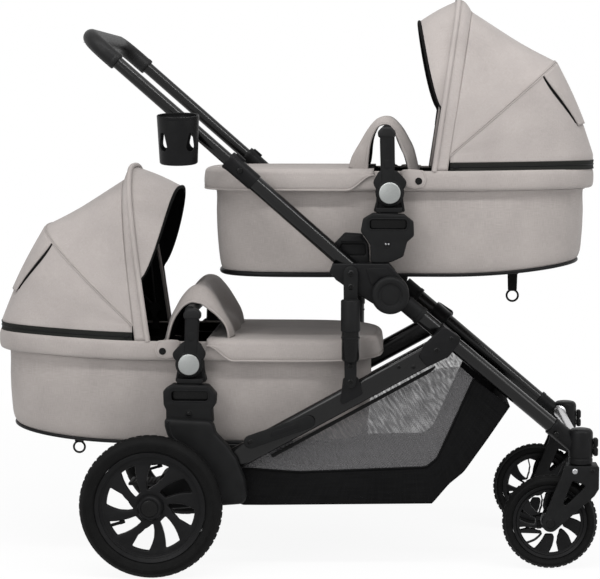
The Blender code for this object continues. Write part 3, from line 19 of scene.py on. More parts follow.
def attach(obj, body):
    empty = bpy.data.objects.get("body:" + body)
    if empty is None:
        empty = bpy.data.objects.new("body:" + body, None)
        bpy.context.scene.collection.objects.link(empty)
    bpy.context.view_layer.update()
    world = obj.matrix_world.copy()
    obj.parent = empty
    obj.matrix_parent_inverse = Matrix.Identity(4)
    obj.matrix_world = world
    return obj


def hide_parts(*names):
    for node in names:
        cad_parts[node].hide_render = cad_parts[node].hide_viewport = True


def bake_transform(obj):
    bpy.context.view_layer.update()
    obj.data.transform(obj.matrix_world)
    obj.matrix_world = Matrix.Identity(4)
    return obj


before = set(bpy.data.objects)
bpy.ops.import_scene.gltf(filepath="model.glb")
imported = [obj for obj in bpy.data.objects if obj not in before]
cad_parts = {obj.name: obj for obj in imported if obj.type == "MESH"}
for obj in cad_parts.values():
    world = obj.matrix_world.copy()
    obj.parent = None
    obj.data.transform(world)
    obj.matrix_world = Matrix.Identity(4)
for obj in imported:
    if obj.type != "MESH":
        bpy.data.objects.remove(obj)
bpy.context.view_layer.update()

log = logging.getLogger("pram")

Pair = tuple[float, float]
Outline = list[Pair]
Colour = tuple[float, float, float]
Placer = Callable[[float, float], Vector]

RIGHT, LEFT = -1, 1
SIDES = ((RIGHT, "right"), (LEFT, "left"))
UV_NAME = "cloth"


class Slot(Enum):
    """The record's material slots."""

    TUBE = "tube_black"
    PLASTIC = "plastic_black"
    TYRE = "tyre_rubber"
    LEATHER = "grip_leather"
    COT = "cot_fabric"
    BLACK_CLOTH = "black_fabric"
    MATTRESS = "mattress_fabric"
    SILVER = "cross_tube_silver"
    STEEL = "bow_steel"


class Mapping(Enum):
    """What a cloth's weave follows."""

    CUT = "UV"
    SPACE = "Object"


class NodeBench:
    """Short calls for building one node tree."""

    def __init__(self, tree: bpy.types.NodeTree) -> None:
        """Start work on the tree that new nodes go to."""
        self.tree = tree

    def node(self, kind: str, feeds: dict | None = None, **options: object) -> bpy.types.Node:
        """Add a node.

        Args:
            kind: The node's type name.
            feeds: A value or another node's socket for each input named.
            options: The node's own settings.

        Returns:
            The new node.
        """
        made = self.tree.nodes.new(kind)
        for option, value in options.items():
            setattr(made, option, value)
        for socket, value in (feeds or {}).items():
            self.feed(made.inputs[socket], value)
        return made

    def feed(self, socket: bpy.types.NodeSocket, value: object) -> None:
        """Link a socket, or set its value.

        Args:
            socket: The input to fill.
            value: Another node's output, or a plain value.
        """
        if isinstance(value, bpy.types.NodeSocket):
            self.tree.links.new(value, socket)
        else:
            socket.default_value = value

    def fill(self, shader: bpy.types.Node, **feeds: object) -> None:
        """Fill a shader's inputs, named with underscores for spaces."""
        for socket, value in feeds.items():
            self.feed(shader.inputs[socket.replace("_", " ")], value)

    def maths(self, operation: str, first: object, second: object = 0.0) -> bpy.types.NodeSocket:
        """Add a Math node, and give its result."""
        return self.node("ShaderNodeMath", {0: first, 1: second}, operation=operation).outputs[0]

    def spread(self, value: object, low: float, high: float, start: float = 0.3,
            end: float = 0.7) -> object:
        """Stretch a value's span, from start and end to low and high."""
        feeds = {0: value, 1: start, 2: end, 3: low, 4: high}
        return self.node("ShaderNodeMapRange", feeds).outputs[0]

    def mix(self, share: object, first: object, second: object) -> bpy.types.NodeSocket:
        """Mix two colours.

        Args:
            share: How much of the second colour.
            first: First colour or socket.
            second: Second colour or socket.

        Returns:
            The mixed colour's socket.
        """
        made = self.node("ShaderNodeMix", data_type="RGBA")
        for index, value in ((0, share), (6, first), (7, second)):
            self.feed(made.inputs[index], (*value, 1.0) if isinstance(value, tuple) else value)
        return made.outputs[2]

    def noise(self, where: object, scale: float, detail: float = 2.0) -> bpy.types.NodeSocket:
        """Add a noise, and give its value, about 0.5."""
        feeds = {"Vector": where, "Scale": scale, "Detail": detail}
        return self.node("ShaderNodeTexNoise", feeds).outputs[0]

    def stretched(self, where: object, scale: tuple[float, float, float]) -> bpy.types.NodeSocket:
        """Scale coordinates by a factor for each axis."""
        return self.node("ShaderNodeMapping", {"Vector": where, "Scale": scale}).outputs[0]

    def coordinates(self, mapping: Mapping) -> bpy.types.NodeSocket:
        """The coordinates that a pattern follows."""
        return self.node("ShaderNodeTexCoord").outputs[mapping.value]

    def bump(self, height: object, strength: float, distance: float, below: object = None) -> object:
        """Add a bump.

        Args:
            height: The height's socket.
            strength: The bump's strength.
            distance: The height of a full step, in metres.
            below: The normal of a bump under this one.

        Returns:
            The normal's socket.
        """
        feeds = {"Height": height, "Strength": strength, "Distance": distance}
        if below:
            feeds["Normal"] = below
        return self.node("ShaderNodeBump", feeds).outputs[0]

    def effect(self, tree: bpy.types.NodeTree, **feeds: object) -> dict[str, bpy.types.NodeSocket]:
        """Place a shared effect.

        Args:
            tree: The node group.
            feeds: A value or socket for each of its inputs.

        Returns:
            Its outputs by name.
        """
        placed = self.node("ShaderNodeGroup", node_tree=tree)
        for socket, value in feeds.items():
            self.feed(placed.inputs[socket], value)
        return {socket.name: socket for socket in placed.outputs}


class Effects:
    """Shader node groups that more than one finish uses, each built once."""

    @staticmethod
    def group(name: str, build: Callable[[NodeBench, bpy.types.Node], dict],
            size: float) -> bpy.types.NodeTree:
        """Find a group, or build it.

        Args:
            name: The group's name.
            build: Wires the group; takes the bench and the group's input node, gives outputs by name.
            size: The default of the group's Size input, in metres.

        Returns:
            The node group, with inputs Vector and Size.
        """
        found = bpy.data.node_groups.get(name)
        if found:
            return found
        tree = bpy.data.node_groups.new(name, "ShaderNodeTree")
        tree.interface.new_socket(name="Vector", in_out="INPUT", socket_type="NodeSocketVector")
        made = tree.interface.new_socket(name="Size", in_out="INPUT", socket_type="NodeSocketFloat")
        made.default_value = size
        bench = NodeBench(tree)
        results = build(bench, bench.node("NodeGroupInput"))
        for result in results:
            tree.interface.new_socket(name=result, in_out="OUTPUT", socket_type="NodeSocketFloat")
        sink = bench.node("NodeGroupOutput")
        for result, socket in results.items():
            bench.feed(sink.inputs[result], socket)
        return tree

    @staticmethod
    def in_cells(bench: NodeBench, source: bpy.types.Node) -> bpy.types.NodeSocket:
        """Coordinates counted in cells of the group's Size."""
        cells = bench.maths("DIVIDE", 1.0, source.outputs["Size"])
        feeds = {0: source.outputs["Vector"], 3: cells}
        return bench.node("ShaderNodeVectorMath", feeds, operation="SCALE").outputs[0]

    @classmethod
    def weave(cls) -> bpy.types.NodeTree:
        """Plain weave: threads over and under, with slubs in both directions."""

        def build(bench: NodeBench, source: bpy.types.Node) -> dict:
            """Wire the weave."""
            cells = cls.in_cells(bench, source)
            split = bench.node("ShaderNodeSeparateXYZ", {0: cells})
            waves = [bench.maths("SINE", bench.maths("MULTIPLY", split.outputs[axis], pi)) for axis in (0,
                1)]
            over = bench.maths("MULTIPLY", *waves)
            warp = bench.noise(bench.stretched(cells, (0.9, 0.045, 0.9)), 1.0, 1.0)
            weft = bench.noise(bench.stretched(cells, (0.045, 0.9, 0.9)), 1.0, 1.0)
            slub = bench.maths("MULTIPLY", bench.maths("ADD", warp, weft), 0.5)
            return {"Height": bench.spread(over, 0.0, 1.0, -1.0, 1.0), "Shade": slub}

        return cls.group("plain_weave", build, 0.0008)

    @classmethod
    def mottle(cls) -> bpy.types.NodeTree:
        """Soft changes of tone over a large face."""

        def build(bench: NodeBench, source: bpy.types.Node) -> dict:
            """Wire the mottle."""
            return {"Shade": bench.noise(cls.in_cells(bench, source), 1.0, 3.0)}

        return cls.group("soft_mottle", build, 0.09)

    @classmethod
    def grain(cls) -> bpy.types.NodeTree:
        """Fine pitted grain of moulded plastic, rubber and leather."""

        def build(bench: NodeBench, source: bpy.types.Node) -> dict:
            """Wire the grain."""
            cells = cls.in_cells(bench, source)
            pits = bench.node("ShaderNodeTexVoronoi", {"Vector": cells, "Scale": 1.0}).outputs["Distance"]
            return {"Height": pits, "Shade": bench.noise(cells, 0.35, 3.0)}

        return cls.group("fine_grain", build, 0.0006)

    @classmethod
    def dust(cls) -> bpy.types.NodeTree:
        """Pale dust that thins out over the lowest parts, up to a height of Size."""

        def build(bench: NodeBench, source: bpy.types.Node) -> dict:
            """Wire the dust."""
            where = source.outputs["Vector"]
            height = bench.node("ShaderNodeSeparateXYZ", {0: where}).outputs[2]
            share = bench.maths("DIVIDE", height, source.outputs["Size"])
            low = bench.spread(share, 1.0, 0.0, 0.0, 1.0)
            patches = bench.spread(bench.noise(where, 70.0, 4.0), 0.0, 1.0, 0.45, 0.75)
            return {"Mask": bench.maths("MULTIPLY", low, patches)}

        return cls.group("road_dust", build, 0.3)


@dataclass(frozen=True)
class Finish:
    """A finish that pieces are dressed in."""

    name: str
    colour: Colour
    roughness: float

    def material(self) -> bpy.types.Material:
        """Find the finish's material, or make it."""
        found = bpy.data.materials.get(self.name)
        if found:
            return found
        made = bpy.data.materials.new(self.name)
        made.use_nodes = True
        made.diffuse_color = (*self.colour, 1.0)
        bench = NodeBench(made.node_tree)
        shader = made.node_tree.nodes["Principled BSDF"]
        self.dress(bench, shader)
        return made

    def dress(self, bench: NodeBench, shader: bpy.types.Node) -> None:
        """Wire the material; each kind of finish has its own."""
        raise NotImplementedError


@dataclass(frozen=True)
class ClothFinish(Finish):
    """Matte woven cloth with slubs, soft tone changes and slight puckers."""

    thread: float = 0.0007
    mapping: Mapping = Mapping.CUT
    contrast: float = 0.13
    sheen: float = 0.12
    pucker: float = 0.0012

    def dress(self, bench: NodeBench, shader: bpy.types.Node) -> None:
        """Wire weave, tone and puckers."""
        space = bench.coordinates(Mapping.SPACE)
        weave = bench.effect(Effects.weave(), Vector=bench.coordinates(self.mapping), Size=self.thread)
        tone = bench.effect(Effects.mottle(), Vector=space, Size=0.09)["Shade"]
        shade = bench.maths("ADD", bench.maths("MULTIPLY", weave["Shade"], 0.6), bench.maths("MULTIPLY",
            tone, 0.4))
        dark = tuple(value * (1 - self.contrast) for value in self.colour)
        light = tuple(min(value * (1 + self.contrast), 1.0) for value in self.colour)
        bench.fill(shader, Base_Color=bench.mix(bench.spread(shade, 0.0, 1.0, 0.36, 0.64), dark, light),
            Roughness=bench.spread(tone, self.roughness - 0.05, self.roughness + 0.05))
        puckers = bench.noise(space, 34.0, 2.0)
        below = bench.bump(puckers, 0.5, self.pucker)
        bench.fill(shader, Normal=bench.bump(weave["Height"], 0.35, self.thread * 0.3, below),
            Sheen_Weight=self.sheen, Sheen_Roughness=0.5, Specular_IOR_Level=0.05)


@dataclass(frozen=True)
class PlasticFinish(Finish):
    """Moulded plastic: fine grain, a slight sheen and dust low down."""

    grain: float = 0.0006
    relief: float = 0.00006
    gloss_level: float = 0.1

    def dress(self, bench: NodeBench, shader: bpy.types.Node) -> None:
        """Wire grain, tone and dust."""
        space = bench.coordinates(Mapping.SPACE)
        grain = bench.effect(Effects.grain(), Vector=space, Size=self.grain)
        tone = bench.effect(Effects.mottle(), Vector=space, Size=0.03)["Shade"]
        dust = bench.effect(Effects.dust(), Vector=space, Size=0.3)["Mask"]
        dark = tuple(value * 0.85 for value in self.colour)
        light = tuple(value * 1.2 for value in self.colour)
        base = bench.mix(bench.spread(tone, 0.0, 1.0), dark, light)
        dusty = tuple(value + 0.008 for value in self.colour)
        bench.fill(shader, Base_Color=bench.mix(bench.maths("MULTIPLY", dust, 0.35), base, dusty))
        rough = bench.spread(grain["Shade"], self.roughness - 0.06, self.roughness + 0.06)
        bench.fill(shader, Roughness=bench.maths("ADD", rough, bench.maths("MULTIPLY", dust, 0.12)),
            Normal=bench.bump(grain["Height"], 0.4, self.relief), Specular_IOR_Level=self.gloss_level)


@dataclass(frozen=True)
class MetalFinish(Finish):
    """Metal with fine brushing along its length."""

    brushing: tuple[float, float, float] = (30.0, 900.0, 900.0)

    def dress(self, bench: NodeBench, shader: bpy.types.Node) -> None:
        """Wire the brushing."""
        lines = bench.noise(bench.stretched(bench.coordinates(Mapping.SPACE), self.brushing), 1.0, 2.0)
        dark = tuple(value * 0.9 for value in self.colour)
        bench.fill(shader, Base_Color=bench.mix(bench.spread(lines, 0.0, 1.0), dark, self.colour),
            Roughness=bench.spread(lines, self.roughness - 0.05, self.roughness + 0.05),
            Normal=bench.bump(lines, 0.15, 0.0001), Metallic=1.0)


@dataclass(frozen=True)
class NetFinish(Finish):
    """Knitted net with open holes, denser in upright streaks."""

    pitch: float = 0.0026

    def dress(self, bench: NodeBench, shader: bpy.types.Node) -> None:
        """Wire the holes and the streaks."""
        cut = bench.coordinates(Mapping.CUT)
        weave = bench.effect(Effects.weave(), Vector=cut, Size=self.pitch)
        streaks = bench.noise(bench.stretched(cut, (34.0, 210.0, 1.0)), 1.0, 3.0)
        closed = bench.spread(streaks, 0.52, 0.92, 0.34, 0.66)
        holes = bench.spread(weave["Height"], -0.12, 0.12, 0.0, 1.0)
        bench.fill(shader, Alpha=bench.maths("ADD", closed, holes))
        dark = tuple(value * 0.5 for value in self.colour)
        bench.fill(shader, Base_Color=bench.mix(bench.spread(streaks, 0.0, 1.0), self.colour, dark),
            Roughness=bench.spread(streaks, self.roughness, self.roughness + 0.1),
            Normal=bench.bump(weave["Height"], 0.4, 0.0004), Specular_IOR_Level=0.15)


COT_CLOTH = ClothFinish("greige_cloth", (0.315, 0.287, 0.272), 0.86)
# Same cloth as COT_CLOTH made about 9 % lighter: painted light on the hood, band and visor, which face the
# lamps above; the snap tabs use it too.
HOOD_CLOTH_PAINTED_LIGHT = ClothFinish("hood_cloth_painted_light", (0.342, 0.311, 0.296), 0.84)
LINING = ClothFinish("black_lining", (0.006, 0.006, 0.006), 0.9, sheen=0.0, contrast=0.25)
ZIP_CLOTH = ClothFinish("zip_tape", (0.016, 0.0165, 0.015), 0.8, thread=0.0012, sheen=0.02)
WEBBING = ClothFinish("black_webbing", (0.008, 0.008, 0.008), 0.8, thread=0.0016, sheen=0.01)
MATTRESS_CLOTH = ClothFinish("mattress_cloth", (0.72, 0.71, 0.69), 0.9, thread=0.0009,
    mapping=Mapping.SPACE, contrast=0.05)
THREAD = ClothFinish("seam_thread", (0.27, 0.245, 0.23), 0.8, thread=0.0004, mapping=Mapping.SPACE)
NET = NetFinish("basket_net", (0.15, 0.147, 0.15), 0.8)
BASKET_CLOTH = ClothFinish("basket_cloth", (0.0045, 0.0045, 0.0047), 0.8, thread=0.0026, sheen=0.0,
    contrast=0.4)
SATIN_PLASTIC = PlasticFinish("satin_black_plastic", (0.0055, 0.0055, 0.0058), 0.42)
MATTE_PLASTIC = PlasticFinish("matte_black_plastic", (0.0065, 0.0066, 0.0068), 0.55)
GLOSS_PLASTIC = PlasticFinish("gloss_black_plastic", (0.003, 0.003, 0.003), 0.24, relief=0.00002,
    gloss_level=0.14)
TUBE_PAINT = PlasticFinish("black_tube_paint", (0.0022, 0.0022, 0.0023), 0.2, grain=0.02, relief=0.0,
    gloss_level=0.28)
RUBBER = PlasticFinish("tyre_rubber_black", (0.0042, 0.0042, 0.0042), 0.66, grain=0.0009, gloss_level=0.07)
LEATHER = PlasticFinish("grip_leatherette", (0.007, 0.007, 0.0072), 0.48, grain=0.0013, relief=0.00022,
    gloss_level=0.16)
SATIN_SILVER = MetalFinish("satin_silver", (0.3, 0.31, 0.305), 0.42, brushing=(500.0, 500.0, 500.0))
TUBE_SILVER = MetalFinish("cross_tube_metal", (0.52, 0.52, 0.53), 0.3, brushing=(900.0, 30.0, 900.0))
STEEL = MetalFinish("rivet_steel", (0.38, 0.38, 0.39), 0.3, brushing=(600.0, 600.0, 600.0))


@dataclass(frozen=True)
class Bend:
    """Two bodies and two points between them, for a piece that spans both."""

    first: str
    second: str
    start: tuple[float, float, float]
    end: tuple[float, float, float]


def squircle(turn: float) -> Pair:
    """A point of the soft square that the carrycot's plan and the hood's arches follow."""
    across, up = cos(turn), sin(turn)
    size = (abs(across) ** 3 + abs(up) ** 3) ** (1 / 3)
    return across / size, up / size


def smooth(share: float) -> float:
    """A soft step from 0 to 1."""
    share = min(max(share, 0.0), 1.0)
    return share * share * (3 - 2 * share)


def lerp(first: Sequence[float], last: Sequence[float], share: float) -> tuple[float, ...]:
    """A point between two points."""
    return tuple(a + (b - a) * share for a, b in zip(first, last))


def through(points: Sequence[Sequence[float]], share: float) -> tuple[float, ...]:
    """A point of a smooth line through several points.

    Args:
        points: The points, evenly spaced along the line.
        share: How far along the line, from 0 to 1.

    Returns:
        The point, on a Catmull-Rom curve.
    """
    last = len(points) - 1
    place = min(max(share, 0.0), 1.0) * last
    index = min(int(place), last - 1)
    t = place - index
    before, first = points[max(index - 1, 0)], points[index]
    second, after = points[index + 1], points[min(index + 2, last)]
    return tuple(0.5 * (2 * b + (c - a) * t + (2 * a - 5 * b + 4 * c - d) * t * t + (3 * b - a - 3 * c + d)
        * t**3) for a, b, c, d in zip(before, first, second, after))


def on_line(points: Sequence[Sequence[float]], share: float) -> tuple[float, ...]:
    """A point of a straight-sided line, by its length.

    Args:
        points: The line's corners.
        share: How far along the line, from 0 to 1.

    Returns:
        The point.
    """
    lengths = [dist(a, b) for a, b in zip(points, points[1:])]
    left = min(max(share, 0.0), 1.0) * sum(lengths)
    for first, last, length in zip(points, points[1:], lengths):
        if left <= length:
            return lerp(first, last, left / length)
        left -= length
    return tuple(points[-1])


def arc(centre: Pair, radius: float, start: float, end: float, steps: int = 12) -> Outline:
    """Points along an arc."""
    turns = [radians(start + (end - start) * step / steps) for step in range(steps + 1)]
    return [(centre[0] + radius * cos(turn), centre[1] + radius * sin(turn)) for turn in turns]


def rounded(corners: Sequence[Pair], radius: float, steps: int = 5) -> Outline:
    """Replace each corner of an outline by an arc.

    Args:
        corners: The outline's corners.
        radius: The arcs' radius, where there is room.
        steps: Steps in each arc.

    Returns:
        The softened outline.
    """
    points = []
    for index, place in enumerate(corners):
        corner = Vector(place)
        before = Vector(corners[index - 1]) - corner
        after = Vector(corners[(index + 1) % len(corners)]) - corner
        half_angle = before.angle(after) / 2
        if half_angle > radians(87):
            points.append(tuple(corner))
            continue
        reach = min(radius / tan(half_angle), 0.45 * before.length, 0.45 * after.length)
        bisector = (before.normalized() + after.normalized()).normalized()
        centre = corner + bisector * (reach / cos(half_angle))
        first = corner + before.normalized() * reach - centre
        last = corner + after.normalized() * reach - centre
        turn = first.angle_signed(last)
        for step in range(steps + 1):
            points.append(tuple(centre + Matrix.Rotation(-turn * step / steps, 2) @ first))
    return points


def across_at(rule: Placer, along: float, steps: int) -> list[Vector]:
    """Points across a sheet, at one share of its length."""
    return [rule(step / steps, along) for step in range(steps + 1)]


def blank() -> bmesh.types.BMesh:
    """An empty part with a layer for the weave's coordinates."""
    part = bmesh.new()
    part.loops.layers.uv.new(UV_NAME)
    return part


def close_up(part: bmesh.types.BMesh, gap: float = 1e-6) -> None:
    """Merge a part's doubles and point its faces outwards."""
    bmesh.ops.remove_doubles(part, verts=part.verts, dist=gap)
    bmesh.ops.recalc_face_normals(part, faces=part.faces)


def evaluated(thing: bpy.types.Object) -> bpy.types.Mesh:
    """A new mesh of an object as it stands, with its modifiers."""
    bpy.context.view_layer.update()
    return bpy.data.meshes.new_from_object(thing.evaluated_get(bpy.context.evaluated_depsgraph_get()))


class Shape:
    """A mesh in the making, in the pram's own frame."""

    def __init__(self) -> None:
        """Start with an empty mesh."""
        self.mesh = blank()
        self.finish = 0

    def using(self, finish: int) -> Shape:
        """Give what is added next another of the piece's finishes."""
        self.finish = finish
        return self

    def take(self, part: bmesh.types.BMesh) -> Shape:
        """Add a part's faces.

        Args:
            part: The part, which is freed.

        Returns:
            The shape itself.
        """
        for face in part.faces:
            face.material_index = self.finish
        carrier = bpy.data.meshes.new("carrier")
        part.to_mesh(carrier)
        part.free()
        self.mesh.from_mesh(carrier)
        bpy.data.meshes.remove(carrier)
        return self

    def turned(self, profile: Sequence[Pair], at: Sequence[float], axis: Sequence[float] = (0, 0, 1),
            steps: int = 48, closed: bool = False) -> Shape:
        """Turn a profile about an axis.

        Args:
            profile: Radii and heights along the axis.
            at: The axis's origin.
            axis: Its direction.
            steps: Faces round the turn.
            closed: Whether the profile's end joins its start.

        Returns:
            The shape itself.
        """
        part = blank()
        corners = [part.verts.new((radius, 0, height)) for radius, height in profile]
        pairs = list(zip(corners, corners[1:]))
        if closed:
            pairs.append((corners[-1], corners[0]))
        edges = [part.edges.new(pair) for pair in pairs]
        bmesh.ops.spin(part, geom=corners + edges, cent=(0, 0, 0), axis=(0, 0, 1), angle=2 * pi,
            steps=steps, use_merge=True)
        close_up(part)
        turn = Vector(axis).to_track_quat("Z", "Y").to_matrix().to_4x4()
        bmesh.ops.transform(part, matrix=Matrix.Translation(at) @ turn, verts=part.verts)
        return self.take(part)

    def disc(self, side: int, at: Pair, profile: Sequence[Pair], steps: int = 48) -> Shape:
        """Turn a profile about a line across the pram."""
        return self.turned(profile, (at[0], 0, at[1]), (0, side, 0), steps)

    def rivet(self, side: int, at: Pair, out: float, radius: float = 0.0046) -> Shape:
        """A low domed head with a dimple."""
        profile = [(0, out - 0.003), (radius, out - 0.003), (radius, out + 0.0003), (radius * 0.78,
            out + 0.0012), (radius * 0.5, out + 0.0014), (radius * 0.42, out + 0.0005), (0, out + 0.0004)]
        return self.disc(side, at, profile, 20)

    def from_curve(self, curve: bpy.types.Curve, turn: Matrix) -> Shape:
        """Add a curve's surface.

        Args:
            curve: The curve, which is removed.
            turn: Where it goes.

        Returns:
            The shape itself.
        """
        guide = bpy.data.objects.new("guide", curve)
        bpy.context.scene.collection.objects.link(guide)
        mesh = evaluated(guide)
        bpy.data.objects.remove(guide)
        bpy.data.curves.remove(curve)
        part = blank()
        part.from_mesh(mesh)
        bpy.data.meshes.remove(mesh)
        close_up(part)
        bmesh.ops.transform(part, matrix=turn, verts=part.verts)
        return self.take(part)

    def slab(self, outlines: Sequence[Outline], side: int, out: Pair, edge: float = 0.0016) -> Shape:
        """A plate with rounded edges, cut from a side-view outline.

        Args:
            outlines: The outline and its windows, as X and Z.
            side: Which side of the pram.
            out: Its two distances from the middle plane.
            edge: The radius of its edges.

        Returns:
            The shape itself.
        """
        low, high = sorted((side * out[0], side * out[1]))
        curve = bpy.data.curves.new("outline", "CURVE")
        curve.dimensions = "2D"
        curve.fill_mode = "BOTH"
        curve.bevel_depth = edge
        curve.bevel_resolution = 2
        curve.extrude = (high - low) / 2 - edge
        curve.offset = -edge
        for outline in outlines:
            spline = curve.splines.new("POLY")
            spline.points.add(len(outline) - 1)
            for point, (x, z) in zip(spline.points, outline):
                point.co = (x, z, 0, 1)
            spline.use_cyclic_u = True
        turn = Matrix.Translation((0, (low + high) / 2, 0)) @ Matrix.Rotation(radians(90), 4, "X")
        return self.from_curve(curve, turn)

    def plate(self, corners: Sequence[Pair], radius: float, side: int, out: Pair, edge: float) -> Shape:
        """A plate whose outline gets rounded corners."""
        return self.slab([rounded(corners, radius)], side, out, edge)

    def pipe(self, points: Sequence[Sequence[float]], radius: float, closed: bool = False,
            resolution: int = 5, swell: Sequence[float] | None = None) -> Shape:
        """A round bar along a line.

        Args:
            points: The line's points.
            radius: The bar's radius.
            closed: Whether it is a ring.
            resolution: Steps in a quarter turn, less one.
            swell: Factor on the radius at each point.

        Returns:
            The shape itself.
        """
        curve = bpy.data.curves.new("bar", "CURVE")
        curve.dimensions = "3D"
        curve.bevel_depth = radius
        curve.bevel_resolution = resolution
        curve.use_fill_caps = not closed
        spline = curve.splines.new("POLY")
        spline.points.add(len(points) - 1)
        spline.use_cyclic_u = closed
        for index, (point, place) in enumerate(zip(spline.points, points)):
            point.co = (*place, 1)
            point.radius = swell[index] if swell else 1.0
        return self.from_curve(curve, Matrix())

    def block(self, low: Sequence[float], high: Sequence[float], edge: float,
            turn: Matrix = Matrix()) -> Shape:
        """A block with rounded edges.

        Args:
            low: Its lowest corner.
            high: Its highest corner.
            edge: The radius of its edges.
            turn: A transform after that.

        Returns:
            The shape itself.
        """
        part = blank()
        low, high = Vector(low), Vector(high)
        place = Matrix.Translation((low + high) / 2) @ Matrix.Diagonal((*(high - low), 1))
        bmesh.ops.create_cube(part, size=1.0, matrix=turn @ place)
        if edge:
            bmesh.ops.bevel(part, geom=part.edges[:], offset=edge, offset_type="OFFSET", segments=3,
                profile=0.5, affect="EDGES", material=-1)
        return self.take(part)

    def cloth(self, place: Placer, columns: int, rows: int, size: Pair,
            inside: Sequence[float] | None = None) -> Shape:
        """A sheet of cloth laid out by a rule.

        Args:
            place: Where a point goes, from its shares across and along the cut.
            columns: Faces across.
            rows: Faces along.
            size: Width and length of the cut, for the weave.
            inside: A point behind the sheet.

        Returns:
            The shape itself.
        """
        part = blank()
        layer = part.loops.layers.uv[UV_NAME]
        bmesh.ops.create_grid(part, x_segments=columns, y_segments=rows, size=0.5)
        shares = {corner: (corner.co.x + 0.5, corner.co.y + 0.5) for corner in part.verts}
        for face in part.faces:
            for loop in face.loops:
                across, along = shares[loop.vert]
                loop[layer].uv = (across * size[0], along * size[1])
        for corner, (across, along) in shares.items():
            corner.co = place(across, along)
        close_up(part, 1e-5)
        if inside is not None:
            middle = Vector(inside)
            score = sum((f.calc_center_median() - middle).dot(f.normal) * f.calc_area() for f in part.faces)
            if score < 0:
                bmesh.ops.reverse_faces(part, faces=part.faces)
        return self.take(part)

    def stitches(self, line: Sequence[Vector], inside: Sequence[float], pitch: float = 0.0048) -> Shape:
        """A row of stitches along a line.

        Args:
            line: Points close together on the cloth.
            inside: A point behind the cloth.
            pitch: From one stitch to the next.

        Returns:
            The shape itself.
        """
        part = blank()
        middle = Vector(inside)
        travelled = 0.0
        for first, last in zip(line, line[1:]):
            step = last - first
            travelled += step.length
            if travelled < pitch or step.length < 1e-6:
                continue
            travelled = 0.0
            outward = (first - middle).normalized()
            turn = step.to_track_quat("X", "Z").to_matrix().to_4x4()
            size = Matrix.Diagonal((pitch * 0.34, 0.0005, 0.0004, 1))
            where = Matrix.Translation(first + outward * 0.0003) @ turn @ size
            bmesh.ops.create_icosphere(part, subdivisions=1, radius=1.0, matrix=where)
        return self.take(part)

    def done(self, name: str, finishes: Sequence[Finish], body: str | Bend, slot: Slot,
            replaces: Sequence[str] = (), wall: float = 0.0, lined: bool = False,
            sharp: float = 38.0) -> bpy.types.Object:
        """Make the shape a piece of the pram.

        Args:
            name: The piece's name.
            finishes: Its finishes, in the order of its face indexes.
            body: The body it rides on, or a Bend, which leaves the piece in place on no body.
            slot: The record's material slot it stands for; not used.
            replaces: The CAD nodes it stands for.
            wall: Thickness that the sheet gets, inwards.
            lined: Whether the inner face takes the second finish.
            sharp: The angle past which an edge stays sharp, in degrees.

        Returns:
            The piece.
        """
        mesh = bpy.data.meshes.new(name)
        self.mesh.to_mesh(mesh)
        self.mesh.free()
        mesh.shade_smooth()
        mesh.set_sharp_from_angle(angle=radians(sharp))
        made = bpy.data.objects.new(name, mesh)
        bpy.context.scene.collection.objects.link(made)
        for finish in finishes:
            mesh.materials.append(finish.material())
        if wall:
            solid = made.modifiers.new("wall", "SOLIDIFY")
            solid.thickness = wall
            solid.offset = -1
            solid.material_offset = 1 if lined else 0
        if isinstance(body, Bend):
            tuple(body.start)
            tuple(body.end)
            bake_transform(made)
        else:
            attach(made, body)
        if replaces:
            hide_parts(*replaces)
        log.info("%s: %d faces", name, len(mesh.polygons))
        return made


@dataclass(frozen=True)
class Layout:
    """Lines and axes that more than one sub-assembly shares, the same as in the CAD."""

    hub: Pair = (0.198, 0.549)
    rear_axle: Pair = (-0.264, 0.14)
    front_axle: Pair = (0.5145, 0.094)
    caster_x: float = 0.574
    caster_out: float = 0.185
    leg_pivot: Pair = (0.288, 0.441)
    leg_angle: float = radians(29.0)
    leg_length: float = 0.475
    tube_top: Pair = (0.2085, 0.545)
    tube_socket: Pair = (0.5158, 0.2868)
    tube_out: Pair = (0.215, 0.185)
    handle_foot: Pair = (0.1094, 0.6107)
    handle_angle: float = radians(41.2)
    handle_out: float = 0.23

    def front_tube(self, share: float, side: int) -> Vector:
        """A point on the front tube's axis, from the hub to the caster's socket."""
        x, z = lerp(self.tube_top, self.tube_socket, share)
        return Vector((x, side * (self.tube_out[0] + (self.tube_out[1] - self.tube_out[0]) * share), z))

    def front_tube_axis(self, side: int) -> Vector:
        """The front tube's direction, down to the caster."""
        return (self.front_tube(1, side) - self.front_tube(0, side)).normalized()

    def leg(self, along: float, across: float = 0.0) -> Pair:
        """A point on the rear leg, back from its pivot and up across it."""
        turn = self.leg_angle
        x = self.leg_pivot[0] - along * cos(turn) - across * sin(turn)
        return x, self.leg_pivot[1] - along * sin(turn) + across * cos(turn)

    def handle(self, along: float, side: int = RIGHT, out: float | None = None) -> Vector:
        """A point on the handle's line, measured from its foot."""
        out = self.handle_out if out is None else out
        x = self.handle_foot[0] - along * cos(self.handle_angle)
        return Vector((x, side * out, self.handle_foot[1] + along * sin(self.handle_angle)))


LAYOUT = Layout()


